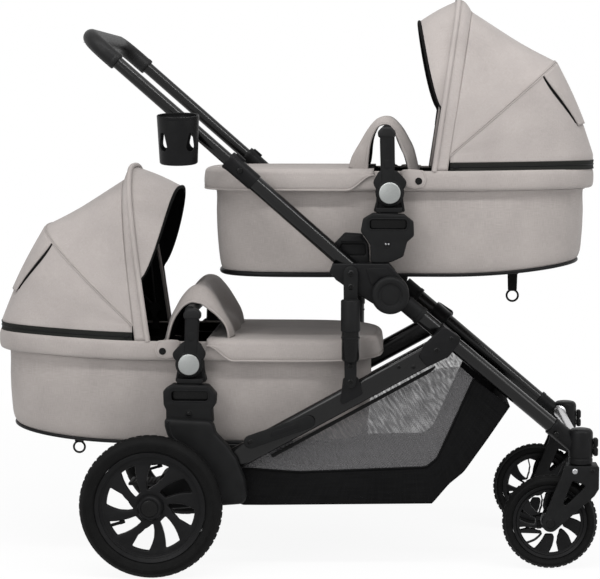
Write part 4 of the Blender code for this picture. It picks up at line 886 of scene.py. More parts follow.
def cot_socket(shape: Shape, hub: Pair, facing: int, side: int, outline: Outline, dark: int) -> None:
    """The block under a carrycot's hub, with its latch window and a dark plate just inside the window as
    painted shade.

    Args:
        shape: The shape it goes to.
        hub: X and Z of the carrycot's hub.
        facing: 1 where the carrycot's head is in front, or -1.
        side: Which side of the pram.
        outline: The block's corners.
        dark: The index of the finish of the dark plate just inside the window, which stands in for the shade
            deep in the slot (painted shade).
    """
    corners = ((-0.04, -0.049), (-0.04, -0.071), (0.0347, -0.071), (0.0347, -0.049))
    slot = rounded([(hub[0] + facing * u, hub[1] + z) for u, z in corners], 0.007)
    shape.slab([rounded(outline, 0.007), slot], side, (0.208, 0.2462), 0.0026)
    shape.slab([slot], side, (0.207, 0.211), 0.001)
    # Dark plate just inside the window: painted shade, standing in for the shadow deep in the slot.
    shape.using(dark).slab([slot], side, (0.234, 0.2375), 0.001)
    shape.using(0).pipe([(x, side * 0.2455, z) for x, z in slot], 0.0016, closed=True, resolution=2)


@dataclass
class FrontFrame:
    """Front tubes, fold hubs, leg brackets, caster housings, the cross tube and the basket."""

    tube_radius: float = 0.015
    socket_radius: float = 0.0185
    hub_radius: float = 0.036
    disc_radius: float = 0.0365
    recess_radius: float = 0.0235
    clamp_share: float = 0.31
    barrel_radius: float = 0.0237
    barrel_z: Pair = (0.2105, 0.2815)
    cross_tube: Pair = (0.56, 0.262)
    basket_x: Pair = (-0.068, 0.433)
    basket_half: Pair = (0.2247, 0.1945)
    basket_limit: float = 0.2235

    def build(self) -> None:
        """Build every piece of the front frame."""
        for side, word in SIDES:
            self.tube(side, word)
            self.hub(side, word)
            self.leg_bracket(side, word)
            self.caster_housing(side, word)
        x, z = self.cross_tube
        end = LAYOUT.caster_out - self.barrel_radius + 0.0004
        bar = Shape().pipe([(x, -end, z), (x, end, z)], 0.01, resolution=7)
        for side, _ in SIDES:
            bar.turned([(0.01, 0), (0.0128, 0.001), (0.0128, 0.01), (0.01, 0.012)],
                (x, side * (end - 0.0005), z), (0, -side, 0), 32)
        bar.done("cross_tube_bright", [TUBE_SILVER], "front_frame", Slot.SILVER, ["front_cross_tube"])
        self.basket()

    def tube(self, side: int, word: str) -> None:
        """Straight tube from the hub to the caster housing."""
        axis = LAYOUT.front_tube_axis(side)
        start = LAYOUT.front_tube(0, side) + axis * self.hub_radius
        end = LAYOUT.front_tube(1, side) + axis * 0.0275
        Shape().pipe([start, end], self.tube_radius, resolution=8).done(f"front_tube_{word}_painted",
            [TUBE_PAINT], "front_frame", Slot.TUBE, [f"front_tube_{word}"])

    def sleeve(self, shape: Shape, start: Vector, end: Vector, radius: float, lip: float = 0.0012) -> None:
        """A plastic sleeve with a thicker lip round a tube.

        Args:
            shape: The shape it goes to.
            start: Its first end.
            end: The end that has the lip.
            radius: Its radius.
            lip: How far the lip stands out.
        """
        length = (end - start).length
        profile = [(0.0, 0.0), (radius - 0.001, 0.0), (radius, 0.001), (radius, length - 0.009),
            (radius + lip, length - 0.0075), (radius + lip, length - 0.001), (radius, length),
            (0.0, length)]
        shape.turned(profile, start, end - start, 40)

    def hub(self, side: int, word: str) -> None:
        """Drum, fold pin and outer disc with its plain recess."""
        shape = Shape()
        radius, disc = self.hub_radius, self.disc_radius
        shape.disc(side, LAYOUT.hub, [(0, 0.198), (radius - 0.002, 0.198), (radius, 0.2), (radius, 0.2283),
            (radius - 0.002, 0.2303), (0, 0.2303)])
        shape.disc(side, LAYOUT.hub, [(0, 0.228), (0.01, 0.228), (0.01, 0.2575), (0, 0.2575)], 28)
        recess = self.recess_radius
        shape.disc(side, LAYOUT.hub, [(0, 0.2545), (disc - 0.0015, 0.2545), (disc, 0.256), (disc, 0.2645),
            (disc - 0.0008, 0.2668), (disc - 0.003, 0.2692), (disc - 0.0055, 0.27), (recess + 0.003, 0.27),
            (recess + 0.0006, 0.2694), (recess, 0.2678), (recess - 0.002, 0.2676), (recess - 0.0026,
            0.2671), (recess - 0.006, 0.2671), (recess - 0.0066, 0.2678), (0.006, 0.2682), (0, 0.2683)], 72)
        axis = LAYOUT.front_tube_axis(side)
        start = LAYOUT.front_tube(0, side) + axis * (radius - 0.012)
        self.sleeve(shape, start, LAYOUT.front_tube(0, side) + axis * (radius + 0.03),
            self.socket_radius - 0.0012)
        shape.done(f"fold_hub_{word}", [MATTE_PLASTIC], "front_frame", Slot.PLASTIC,
            [f"hub_housing_{word}"])

    def leg_bracket(self, side: int, word: str) -> None:
        """Clamp on the front tube whose plate carries the rear leg's pin."""
        outline = [(0.3017, 0.4887), (0.335, 0.4664), (0.3313, 0.4553), (0.3113, 0.429), (0.2689, 0.4082),
            (0.254, 0.4304), (0.2632, 0.4529), (0.2851, 0.4735)]
        shape = Shape().plate(outline, 0.008, side, (0.246, 0.256), 0.0022)
        middle = LAYOUT.front_tube(self.clamp_share, side)
        axis = LAYOUT.front_tube_axis(side)
        self.sleeve(shape, middle - axis * 0.02, middle + axis * 0.02, self.socket_radius - 0.001, 0.001)
        along = Vector((axis.x, axis.z)).normalized()
        away = Vector((-along.y, along.x))
        centre, reach, rise = Vector((middle.x, middle.z)), along * 0.017, away * 0.0165
        web = [tuple(centre - reach), tuple(centre + reach), tuple(centre + reach + rise),
            tuple(centre - reach + rise)]
        shape.slab([web], side, (abs(middle.y) - 0.003, 0.249), 0.0015)
        shape.disc(side, LAYOUT.leg_pivot, [(0, 0.2258), (0.006, 0.2258), (0.006, 0.249), (0, 0.249)], 24)
        shape.using(1).rivet(side, LAYOUT.leg_pivot, 0.256, 0.0058)
        shape.rivet(side, (0.3165, 0.465), 0.256, 0.0042)
        shape.done(f"leg_bracket_{word}", [SATIN_PLASTIC, GLOSS_PLASTIC], "front_frame", Slot.PLASTIC,
            [f"leg_pivot_bracket_{word}"])

    def caster_housing(self, side: int, word: str) -> None:
        """Upright barrel of the caster's stem with the tube's socket."""
        low, high = self.barrel_z
        radius = self.barrel_radius
        place = (LAYOUT.caster_x, side * LAYOUT.caster_out, 0)
        shape = Shape().turned([(0.0093, low), (radius - 0.0015, low), (radius, low + 0.0015),
            (radius, low + 0.01), (radius - 0.0009, low + 0.011), (radius - 0.0009, low + 0.0135),
            (radius, low + 0.0145), (radius, high - 0.009), (radius - 0.0015, high - 0.005),
            (radius - 0.005, high - 0.0018), (radius - 0.01, high - 0.0006), (0.006, high - 0.0001),
            (0, high)], place, steps=64)
        axis = LAYOUT.front_tube_axis(side)
        mouth = LAYOUT.front_tube(1, side)
        self.sleeve(shape, mouth + axis * 0.058, mouth, self.socket_radius - 0.001, 0.001)
        shape.using(1).rivet(side, (0.525, 0.271), LAYOUT.caster_out + 0.0182, 0.005)
        shape.done(f"caster_barrel_{word}", [SATIN_PLASTIC, GLOSS_PLASTIC], "front_frame", Slot.PLASTIC,
            [f"caster_housing_{word}"])

    def half_width(self, x: float) -> float:
        """Half the basket's width at a place along it."""
        share = (x - self.basket_x[0]) / (self.basket_x[1] - self.basket_x[0])
        return min(self.basket_half[0] + (self.basket_half[1] - self.basket_half[0]) * share,
            self.basket_limit)

    def basket(self) -> None:
        """Cloth tray with net sides, slung under the front tubes and between the legs."""
        floor = [(-0.1, 0.2), (-0.096, 0.1285), (0.282, 0.131), (0.315, 0.17), (0.344, 0.194),
            (0.39, 0.259), (0.434, 0.324)]
        under = [(-0.1, 0.202), (-0.066, 0.201), (0.02, 0.195), (0.269, 0.204), (0.291, 0.221),
            (0.362, 0.38)]
        over = [(-0.1, 0.204), (0.24, 0.373), (0.295, 0.401), (0.335, 0.404)]
        bend = self.basket_bend()

        def tray(across: float, along: float) -> Vector:
            """The floor and the front, from side to side, with a slight sag."""
            x, z = on_line(floor, along)
            sag = 0.002 * sin(pi * across) * sin(pi * min(along * 1.6, 1.0))
            return Vector((x, self.half_width(x) * (2 * across - 1), z - sag))

        inside = (0.15, 0, 0.3)
        shape = Shape().cloth(tray, 40, 90, (0.42, 0.66), inside=inside)
        for side, _ in SIDES:
            def band(across: float, along: float, side: int = side) -> Vector:
                """The closed cloth along the bottom and front of the net."""
                x, z = lerp(on_line(floor, along), on_line(under, along), across)
                return Vector((x, side * (self.half_width(x) + 0.0022 * sin(pi * across)), z))

            shape.cloth(band, 16, 90, (0.08, 0.62), inside=inside)
            edge = [on_line(under, step / 60) for step in range(61)]
            shape.pipe([(x, side * (self.half_width(x) + 0.0006), z) for x, z in edge], 0.0018,
                resolution=2)
        tray_piece = shape.done("basket_tray", [BASKET_CLOTH], bend, Slot.BLACK_CLOTH, ["basket"],
            wall=0.0022)
        for side, word in SIDES:
            def net(across: float, along: float, side: int = side) -> Vector:
                """The net side, from the cloth band up to the leg."""
                x, z = lerp(on_line(under, along), on_line(over, along), across)
                bulge = 0.004 * sin(pi * across) * sin(pi * min(along * 1.5, 1.0))
                return Vector((x, side * (self.half_width(x) - bulge), z))

            made = Shape().cloth(net, 30, 70, (0.17, 0.44), inside=inside).done(f"basket_net_{word}", [NET],
                bend, Slot.BLACK_CLOTH)

    def basket_bend(self) -> Bend:
        """A Bend for the basket, between the front frame and the rear frame across the rear legs' pivot."""
        turn = radians(-104.0)
        across = Vector((cos(turn + pi / 2), 0, sin(turn + pi / 2)))
        pivot = Vector((LAYOUT.leg_pivot[0], 0, LAYOUT.leg_pivot[1]))
        return Bend("front_frame", "rear_frame", tuple(pivot + across * 0.09), tuple(pivot - across * 0.09))


@dataclass
class UpperFrame:
    """Knuckle blocks, carrycot adapters, outer tubes and collar buttons."""

    tube_radius: float = 0.0155
    bore_radius: float = 0.0131
    collar_radius: float = 0.0193
    span: Pair = (-0.04, 0.3025)
    collar_start: float = 0.2325
    button_at: float = 0.2698
    cot_hub: Pair = (0.196, 0.745)

    def build(self) -> None:
        """Build every piece of the upper frame."""
        for side, word in SIDES:
            self.block(side, word)
            self.adapter(side, word)
            self.outer_tube(side, word)
            self.button(side, word)

    def block(self, side: int, word: str) -> None:
        """Knuckle that turns on the fold pin, with the plain socket inside it."""
        outer = [(0.086, 0.6095), (0.195, 0.6095), (0.2215, 0.5785)]
        outer += arc(LAYOUT.hub, 0.033, 40, -130, 22)
        outer += [(0.149, 0.541), (0.112, 0.564), (0.093, 0.577), (0.08, 0.593)]
        inner = [(0.086, 0.6095), (0.195, 0.6095), (0.2095, 0.592), (0.198, 0.5885), (0.18, 0.584),
            (0.1655, 0.572), (0.1585, 0.556), (0.149, 0.541), (0.112, 0.564), (0.093, 0.577), (0.08, 0.593)]
        shape = Shape().slab([outer], side, (0.2317, 0.2525), 0.003)
        shape.plate(inner, 0.003, side, (0.208, 0.236), 0.0015)
        panel = [(0.15, 0.601), (0.19, 0.601), (0.209, 0.579), (0.18, 0.582), (0.162, 0.565)]
        shape.plate(panel, 0.004, side, (0.25, 0.254), 0.0009)
        socket = [(0.088, 0.6), (0.088, 0.646), (0.1087, 0.6676), (0.1415, 0.6656), (0.155, 0.645),
            (0.158, 0.6)]
        slot = [(0.096, 0.6225), (0.15, 0.6225), (0.148, 0.6448), (0.101, 0.6448)]
        shape.slab([rounded(socket, 0.006), rounded(slot, 0.004)], side, (0.2065, 0.2142), 0.0018)
        shape.plate(slot, 0.004, side, (0.206, 0.209), 0.0008)
        lip = [(0.095, 0.649), (0.112, 0.663), (0.139, 0.6615), (0.148, 0.649)]
        shape.plate(lip, 0.003, side, (0.2135, 0.217), 0.0012)
        shape.done(f"knuckle_{word}", [SATIN_PLASTIC], "upper_frame", Slot.PLASTIC, [f"joint_block_{word}"])

    def adapter(self, side: int, word: str) -> None:
        """Adapter on the knuckle that carries the upper carrycot."""
        u, z = self.cot_hub
        outline = [(u + a, z + b) for a, b in ((-0.0519, -0.05), (-0.0326, -0.0387), (0.028, -0.0414),
            (0.0464, -0.0555), (0.0473, -0.0822), (0.0341, -0.0941), (0.0269, -0.1222), (0.0078, -0.1312))]
        outline += [(0.19, 0.6098), (0.16, 0.6098), (0.159, 0.645), (0.14, 0.671)]
        shape = Shape()
        cot_socket(shape, self.cot_hub, 1, side, outline, 2)
        for shift in (-0.0027, 0.0027):
            shape.using(1).rivet(side, (0.1916 + shift, 0.647), 0.2462, 0.0021)
        shape.using(2).disc(side, (0.1916, 0.6456), [(0, 0.245), (0.0066, 0.245), (0.0066, 0.2466),
            (0.0056, 0.247), (0.005, 0.2464), (0, 0.2464)], 28)
        shape.done(f"cot_adapter_{word}_moulded", [MATTE_PLASTIC, STEEL, GLOSS_PLASTIC], "upper_frame",
            Slot.PLASTIC, [f"cot_adapter_{word}"])

    def outer_tube(self, side: int, word: str) -> None:
        """Outer telescope tube with the collar round its mouth."""
        start, end = self.span
        bore, tube, collar, mouth = self.bore_radius, self.tube_radius, self.collar_radius, self.collar_start
        at = LAYOUT.handle(0, side)
        axis = LAYOUT.handle(1, side) - at
        shape = Shape().turned([(bore, start), (tube, start), (tube, mouth + 0.004), (bore, mouth + 0.004)],
            at, axis, 56, closed=True)
        shape.using(1).turned([(tube, mouth), (tube + 0.0012, mouth), (tube + 0.0018, mouth + 0.002),
            (tube + 0.0022, end - 0.02), (collar - 0.0008, end - 0.008), (collar, end - 0.004),
            (collar - 0.001, end), (bore + 0.0006, end), (bore, end - 0.002), (bore, mouth)], at, axis, 56,
            closed=True)
        normal = Vector((-sin(LAYOUT.handle_angle), 0, -cos(LAYOUT.handle_angle)))
        fin_at = LAYOUT.handle(end - 0.016, side) - normal * (collar - 0.001)
        turn = Matrix.Translation(fin_at) @ axis.to_track_quat("X", "Z").to_matrix().to_4x4()
        shape.block((-0.012, -0.003, -0.002), (0.01, 0.003, 0.0035), 0.0012, turn)
        shape.done(f"outer_tube_{word}_painted", [TUBE_PAINT, SATIN_PLASTIC], "upper_frame", Slot.TUBE,
            [f"outer_tube_{word}"])

    def button(self, side: int, word: str) -> None:
        """Press button in the collar."""
        at = LAYOUT.handle(self.button_at, side)
        profile = [(0, 0.2468), (0.0058, 0.2468), (0.006, 0.25), (0.0052, 0.2514), (0.003, 0.2519),
            (0, 0.252)]
        Shape().disc(side, (at.x, at.z), profile, 32).done(f"collar_button_{word}_cap", [GLOSS_PLASTIC],
            f"collar_button_{word}", Slot.PLASTIC, [f"collar_button_{word}"])


@dataclass
class Handle:
    """Handlebar, grip and cup holder."""

    radius: float = 0.0125
    length: float = 0.6625
    corner: float = 0.05
    grip_radius: float = 0.0166
    grip_start: float = 0.591
    cup_at: Pair = (-0.208, -0.2886)
    cup_z: Pair = (0.803, 0.896)
    cup_rim: float = 0.0405
    cup_floor: float = 0.0365
    cup_tilt: float = radians(7.0)
    clamp_at: float = 0.405

    def path(self, start: float, steps: int = 14) -> list[Vector]:
        """The U of the handle.

        Args:
            start: Where both legs start, along the handle's line.
            steps: Steps in each corner.

        Returns:
            Points from the right leg to the left one.
        """
        points: list[Vector] = []
        for side, _ in SIDES:
            leg = [LAYOUT.handle(start, side), LAYOUT.handle((start + self.length - self.corner) / 2, side)]
            for step in range(steps + 1):
                turn = radians(90 * step / steps)
                along = self.length - self.corner * (1 - sin(turn))
                leg.append(LAYOUT.handle(along, side, LAYOUT.handle_out - self.corner * (1 - cos(turn))))
            points += leg if side == RIGHT else leg[::-1]
        return points

    def build(self) -> None:
        """Build the bar, the grip and the cup holder."""
        Shape().pipe(self.path(0.17), self.radius, resolution=8).done("handlebar_painted", [TUBE_PAINT],
            "handle", Slot.TUBE, ["handlebar"])
        line = self.path(self.grip_start)
        grip = Shape().pipe(line, self.grip_radius, resolution=8)
        for side, _ in SIDES:
            at = LAYOUT.handle(self.grip_start, side)
            axis = LAYOUT.handle(1, side) - LAYOUT.handle(0, side)
            grip.turned([(0.0126, -0.004), (0.016, -0.004), (0.0172, -0.0025), (0.0174, 0.004),
                (0.0166, 0.006), (0.0126, 0.006)], at, axis, 48, closed=True)
        below = Vector((-sin(LAYOUT.handle_angle), 0, -cos(LAYOUT.handle_angle)))
        seam = [point + below * (self.grip_radius - 0.0004) for point in line]
        grip.pipe(seam, 0.0011, resolution=2)
        dense = [Vector(through([tuple(point) for point in seam[1:]], step / 260)) for step in range(261)]
        ahead = Vector((cos(LAYOUT.handle_angle), 0, -sin(LAYOUT.handle_angle)))
        for shift in (-0.0034, 0.0034):
            row = [point + ahead * shift * 0.9 - below * 0.0004 for point in dense]
            grip.using(1).stitches(row, (-0.3, 0, 1.3), 0.0045)
        grip.done("handle_grip_sewn", [LEATHER, SATIN_PLASTIC], "handle", Slot.LEATHER, ["handle_grip"])
        self.cup_holder()

    def cup_holder(self) -> None:
        """Cup with four drop-shaped windows, and its clamp on the right tube."""
        low, high = self.cup_z
        wall, floor, rim = 0.0025, self.cup_floor, self.cup_rim
        turn_radius = (floor + rim) / 2
        half_turn = pi * turn_radius
        sides: list[Outline] = [[(-half_turn, low + 0.006), (half_turn, low + 0.006), (half_turn,
            high - 0.006), (-half_turn, high - 0.006)]]
        for turn in (-135, -45, 45, 135):
            centre = radians(turn) * turn_radius
            drop = arc((centre, low + 0.037), 0.0105, 180, 360, 14)
            sides.append(rounded(drop + [(centre + 0.0045, low + 0.062), (centre - 0.0045, low + 0.062)],
                0.004))
        sheet = Shape().slab(sides, 1, (-wall / 2, wall / 2), 0.0005)
        part = sheet.mesh
        for step in range(1, 48):
            x = -half_turn + 2 * half_turn * step / 48
            everything = part.verts[:] + part.edges[:] + part.faces[:]
            bmesh.ops.bisect_plane(part, geom=everything, plane_co=(x, 0, 0), plane_no=(1, 0, 0), dist=1e-7)
        for corner in part.verts:
            share = (corner.co.z - low) / (high - low)
            radius = floor + (rim - floor) * share - wall / 2 - corner.co.y
            turn = corner.co.x / turn_radius
            x = self.cup_at[0] + radius * cos(turn)
            corner.co = Vector((x, self.cup_at[1] + radius * sin(turn), corner.co.z))
        close_up(part, 2e-5)
        place = (*self.cup_at, 0)
        foot = floor + (rim - floor) * 0.065
        sheet.turned([(0, low + wall), (floor - wall - 0.003, low + wall), (floor - wall,
            low + wall + 0.002), (foot - wall, low + 0.0065), (foot, low + 0.0065), (floor, low + 0.002),
            (floor - 0.002, low), (0, low)], place, steps=64)
        top = rim - (rim - floor) * 0.065
        sheet.turned([(top - wall, high - 0.0065), (rim - wall - 0.0004, high - 0.001),
            (rim - wall + 0.0006, high), (rim - 0.0006, high), (rim, high - 0.001), (rim, high - 0.004),
            (top, high - 0.0065)], place, steps=64, closed=True)
        heart = Vector((*self.cup_at, (low + high) / 2))
        bmesh.ops.rotate(part, verts=part.verts, cent=heart, matrix=Matrix.Rotation(self.cup_tilt, 3, "X"))
        start, end = LAYOUT.handle(self.clamp_at - 0.012), LAYOUT.handle(self.clamp_at + 0.012)
        axis = end - start
        sheet.turned([(0.0131, 0), (0.0166, 0), (0.0172, 0.001), (0.0172, 0.023), (0.0166, 0.024),
            (0.0131, 0.024)], start, axis, 48, closed=True)
        middle = (start + end) / 2
        wall_y = self.cup_at[1] + rim
        sheet.block((middle.x - 0.009, wall_y - 0.0045, middle.z - 0.011), (middle.x + 0.009,
            wall_y + 0.005, middle.z + 0.011), 0.002)
        sheet.done("cup_holder_moulded", [SATIN_PLASTIC], "handle", Slot.PLASTIC, ["cup_holder"], sharp=30)


@dataclass
class SideStrut:
    """Folding side strut with its stepped sleeve."""

    top: Pair = (0.1215, 0.591)
    foot: Pair = (0.1215, 0.38)
    lug_out: Pair = (0.2543, 0.266)
    half_width: float = 0.01425
    sleeve_radius: float = 0.0187
    sleeve_out: float = 0.2735
    sleeve_z: Pair = (0.4225, 0.5415)
    waist_z: float = 0.48

    def build(self) -> None:
        """Build both struts."""
        for side, word in SIDES:
            outline = arc(self.top, self.half_width, 180, 0, 16) + arc(self.foot, self.half_width * 0.8, 0,
                -180, 16)
            shape = Shape().slab([outline], side, self.lug_out, 0.0022)
            low, high = self.sleeve_z
            radius = self.sleeve_radius
            at = (self.top[0], side * self.sleeve_out, 0)
            shape.turned([(0, high), (radius - 0.003, high), (radius - 0.001, high - 0.001),
                (radius, high - 0.003), (radius, self.waist_z + 0.0015), (radius - 0.0015, self.waist_z),
                (0, self.waist_z)], at, steps=48)
            shape.using(1).turned([(0, self.waist_z), (radius - 0.0016, self.waist_z), (radius - 0.0016,
                low + 0.004), (radius - 0.004, low), (0, low)], at, steps=48)
            shape.using(0).turned([(radius - 0.0018, 0.466), (radius - 0.0006, 0.4665), (radius - 0.0006,
                0.4695), (radius - 0.0018, 0.47)], at, steps=48, closed=True)
            for z in (0.591, 0.565, 0.411, 0.38):
                shape.using(1).rivet(side, (self.top[0], z), self.lug_out[1], 0.0058)
                shape.disc(side, (self.top[0], z), [(0, self.lug_out[1]), (0.0022, self.lug_out[1]),
                    (0.0022, self.lug_out[1] + 0.0008), (0, self.lug_out[1] + 0.0009)], 16)
            shape.done(f"side_strut_{word}_moulded", [MATTE_PLASTIC, GLOSS_PLASTIC], f"strut_{word}",
                Slot.PLASTIC, [f"side_strut_{word}"])


@dataclass
class RearFrame:
    """Oval rear legs, rear brackets with the lower sockets, the axle and the brake pedal."""

    leg_height: float = 0.043
    leg_out: Pair = (0.2253, 0.2457)
    bracket_out: Pair = (0.226, 0.262)
    socket_out: Pair = (0.208, 0.248)
    cot_hub: Pair = (-0.196, 0.408)
    spindle_radius: float = 0.006
    spindle_end: float = 0.318
    axle_radius: float = 0.011

    def build(self) -> None:
        """Build every piece of the rear frame."""
        for side, word in SIDES:
            self.leg(side, word)
            self.bracket(side, word)
        x, z = LAYOUT.rear_axle
        end = self.bracket_out[0] - 0.0003
        axle = Shape().pipe([(x, -end, z), (x, end, z)], self.axle_radius, resolution=7)
        axle.done("rear_axle_painted", [TUBE_PAINT], "rear_frame", Slot.TUBE, ["rear_axle_tube"])
        self.pedal()

    def leg(self, side: int, word: str) -> None:
        """Flat oval leg, its foot plate for the strut and the basket's strap below it."""
        half = self.leg_height / 2
        outline = [LAYOUT.leg(-half * cos(turn), half * sin(turn)) for turn in (radians(angle)
            for angle in range(-90, 91, 9))]
        outline += [LAYOUT.leg(LAYOUT.leg_length, half), LAYOUT.leg(LAYOUT.leg_length, -half)]
        shape = Shape().slab([outline], side, self.leg_out, 0.0085)
        plate = rounded([(0.1, 0.33), (0.1457, 0.355), (0.136, 0.388), (0.107, 0.388)], 0.006)
        shape.using(1).slab([plate], side, (self.leg_out[1] - 0.003, 0.2537), 0.0015)
        for place in (LAYOUT.leg(0.055, -0.008), LAYOUT.leg(0.08, 0.006), LAYOUT.leg(0.405, 0.006)):
            shape.using(2).rivet(side, place, self.leg_out[1], 0.0042)
        strap = [LAYOUT.leg(0.01, -half - 0.006), LAYOUT.leg(0.385, -half - 0.006), LAYOUT.leg(0.385,
            -half - 0.013), LAYOUT.leg(0.03, -half - 0.013)]
        shape.using(3).plate(strap, 0.002, side, (0.2262, 0.229), 0.0008)
        shape.done(f"rear_leg_{word}_painted", [TUBE_PAINT, SATIN_PLASTIC, GLOSS_PLASTIC, WEBBING],
            "rear_frame", Slot.TUBE, [f"rear_leg_{word}"])

    def bracket(self, side: int, word: str) -> None:
        """Mudguard-shaped bracket with the lower carrycot's socket, the latch and the spindle."""
        guard = [(-0.242, 0.305), (-0.242, 0.29), (-0.2359, 0.2684), (-0.215, 0.248), (-0.208, 0.22),
            (-0.225, 0.185), (-0.275, 0.164), (-0.29, 0.14), (-0.275, 0.118), (-0.23, 0.125), (-0.0807,
            0.1375), (-0.0841, 0.1808), (-0.1005, 0.2264), (-0.1196, 0.2528), (-0.142, 0.2763),
            (-0.148, 0.3)]
        shape = Shape().plate(guard, 0.016, side, self.bracket_out, 0.0075)
        u, z = self.cot_hub
        socket = [(u - a, z + b) for a, b in ((-0.048, -0.118), (-0.046, -0.086), (-0.0525, -0.078),
            (-0.054, -0.058), (-0.038, -0.04), (0.0326, -0.0385), (0.05, -0.05), (0.049, -0.078),
            (0.044, -0.088), (0.044, -0.118))]
        cot_socket(shape, self.cot_hub, -1, side, socket, 1)
        rim = [(-0.239, 0.3), (-0.233, 0.272), (-0.213, 0.252), (-0.204, 0.22), (-0.214, 0.19)]
        ridge = [Vector((*through(rim, step / 30), 0)) for step in range(31)]
        shape.pipe([(p.x + 0.006, side * (self.bracket_out[1] - 0.0012), p.y) for p in ridge], 0.0022,
            resolution=3)
        shape.disc(side, LAYOUT.rear_axle, [(0, 0.258), (0.024, 0.258), (0.024, 0.2612), (0.021, 0.2618),
            (0, 0.2618)])
        spindle = self.spindle_radius
        shape.using(2).disc(side, LAYOUT.rear_axle, [(0, 0.259), (spindle, 0.259), (spindle, 0.316),
            (spindle - 0.002, self.spindle_end), (0, self.spindle_end)], 28)
        shape.using(1).rivet(side, (-0.195, 0.313), 0.2475, 0.0046)
        shape.using(0).disc(side, (-0.195, 0.313), [(0, 0.245), (0.0078, 0.245), (0.0078, 0.2468),
            (0.0066, 0.2474), (0.0056, 0.2466), (0, 0.2466)], 28)
        latch = arc((-0.074, 0.259), 0.013, 110, 290, 10) + arc((0.039, 0.299), 0.013, -70, 110, 10)
        shape.using(0).slab([latch], side, (0.2462, 0.2532), 0.0018)
        recess = arc((-0.03, 0.2745), 0.0052, 110, 290, 8) + arc((0.018, 0.2915), 0.0052, -70, 110, 8)
        shape.using(3).slab([recess], side, (0.2522, 0.2538), 0.0006)
        shape.using(1).rivet(side, (-0.074, 0.259), 0.2532, 0.0052)
        shape.done(f"rear_bracket_{word}_moulded", [MATTE_PLASTIC, GLOSS_PLASTIC, STEEL, SATIN_PLASTIC],
            "rear_frame", Slot.PLASTIC, [f"rear_bracket_{word}"])

    def pedal(self) -> None:
        """Brake pedal on the axle, with a ribbed tread."""
        x, z = LAYOUT.rear_axle
        shape = Shape().turned([(0.0116, 0), (0.015, 0), (0.016, 0.001), (0.016, 0.069), (0.015, 0.07),
            (0.0116, 0.07)], (x, -0.035, z), (0, 1, 0), 40, closed=True)
        low = z - self.axle_radius
        shape.block((-0.345, -0.035, low), (x - 0.01, 0.035, low + 0.006), 0.0024)
        for step in range(7):
            rib = -0.338 + 0.0075 * step
            shape.using(1).block((rib, -0.029, low + 0.005), (rib + 0.0035, 0.029, low + 0.0068), 0.0006)
        shape.done("brake_pedal_moulded", [MATTE_PLASTIC, RUBBER], "brake_pedal", Slot.PLASTIC,
            ["brake_pedal"])


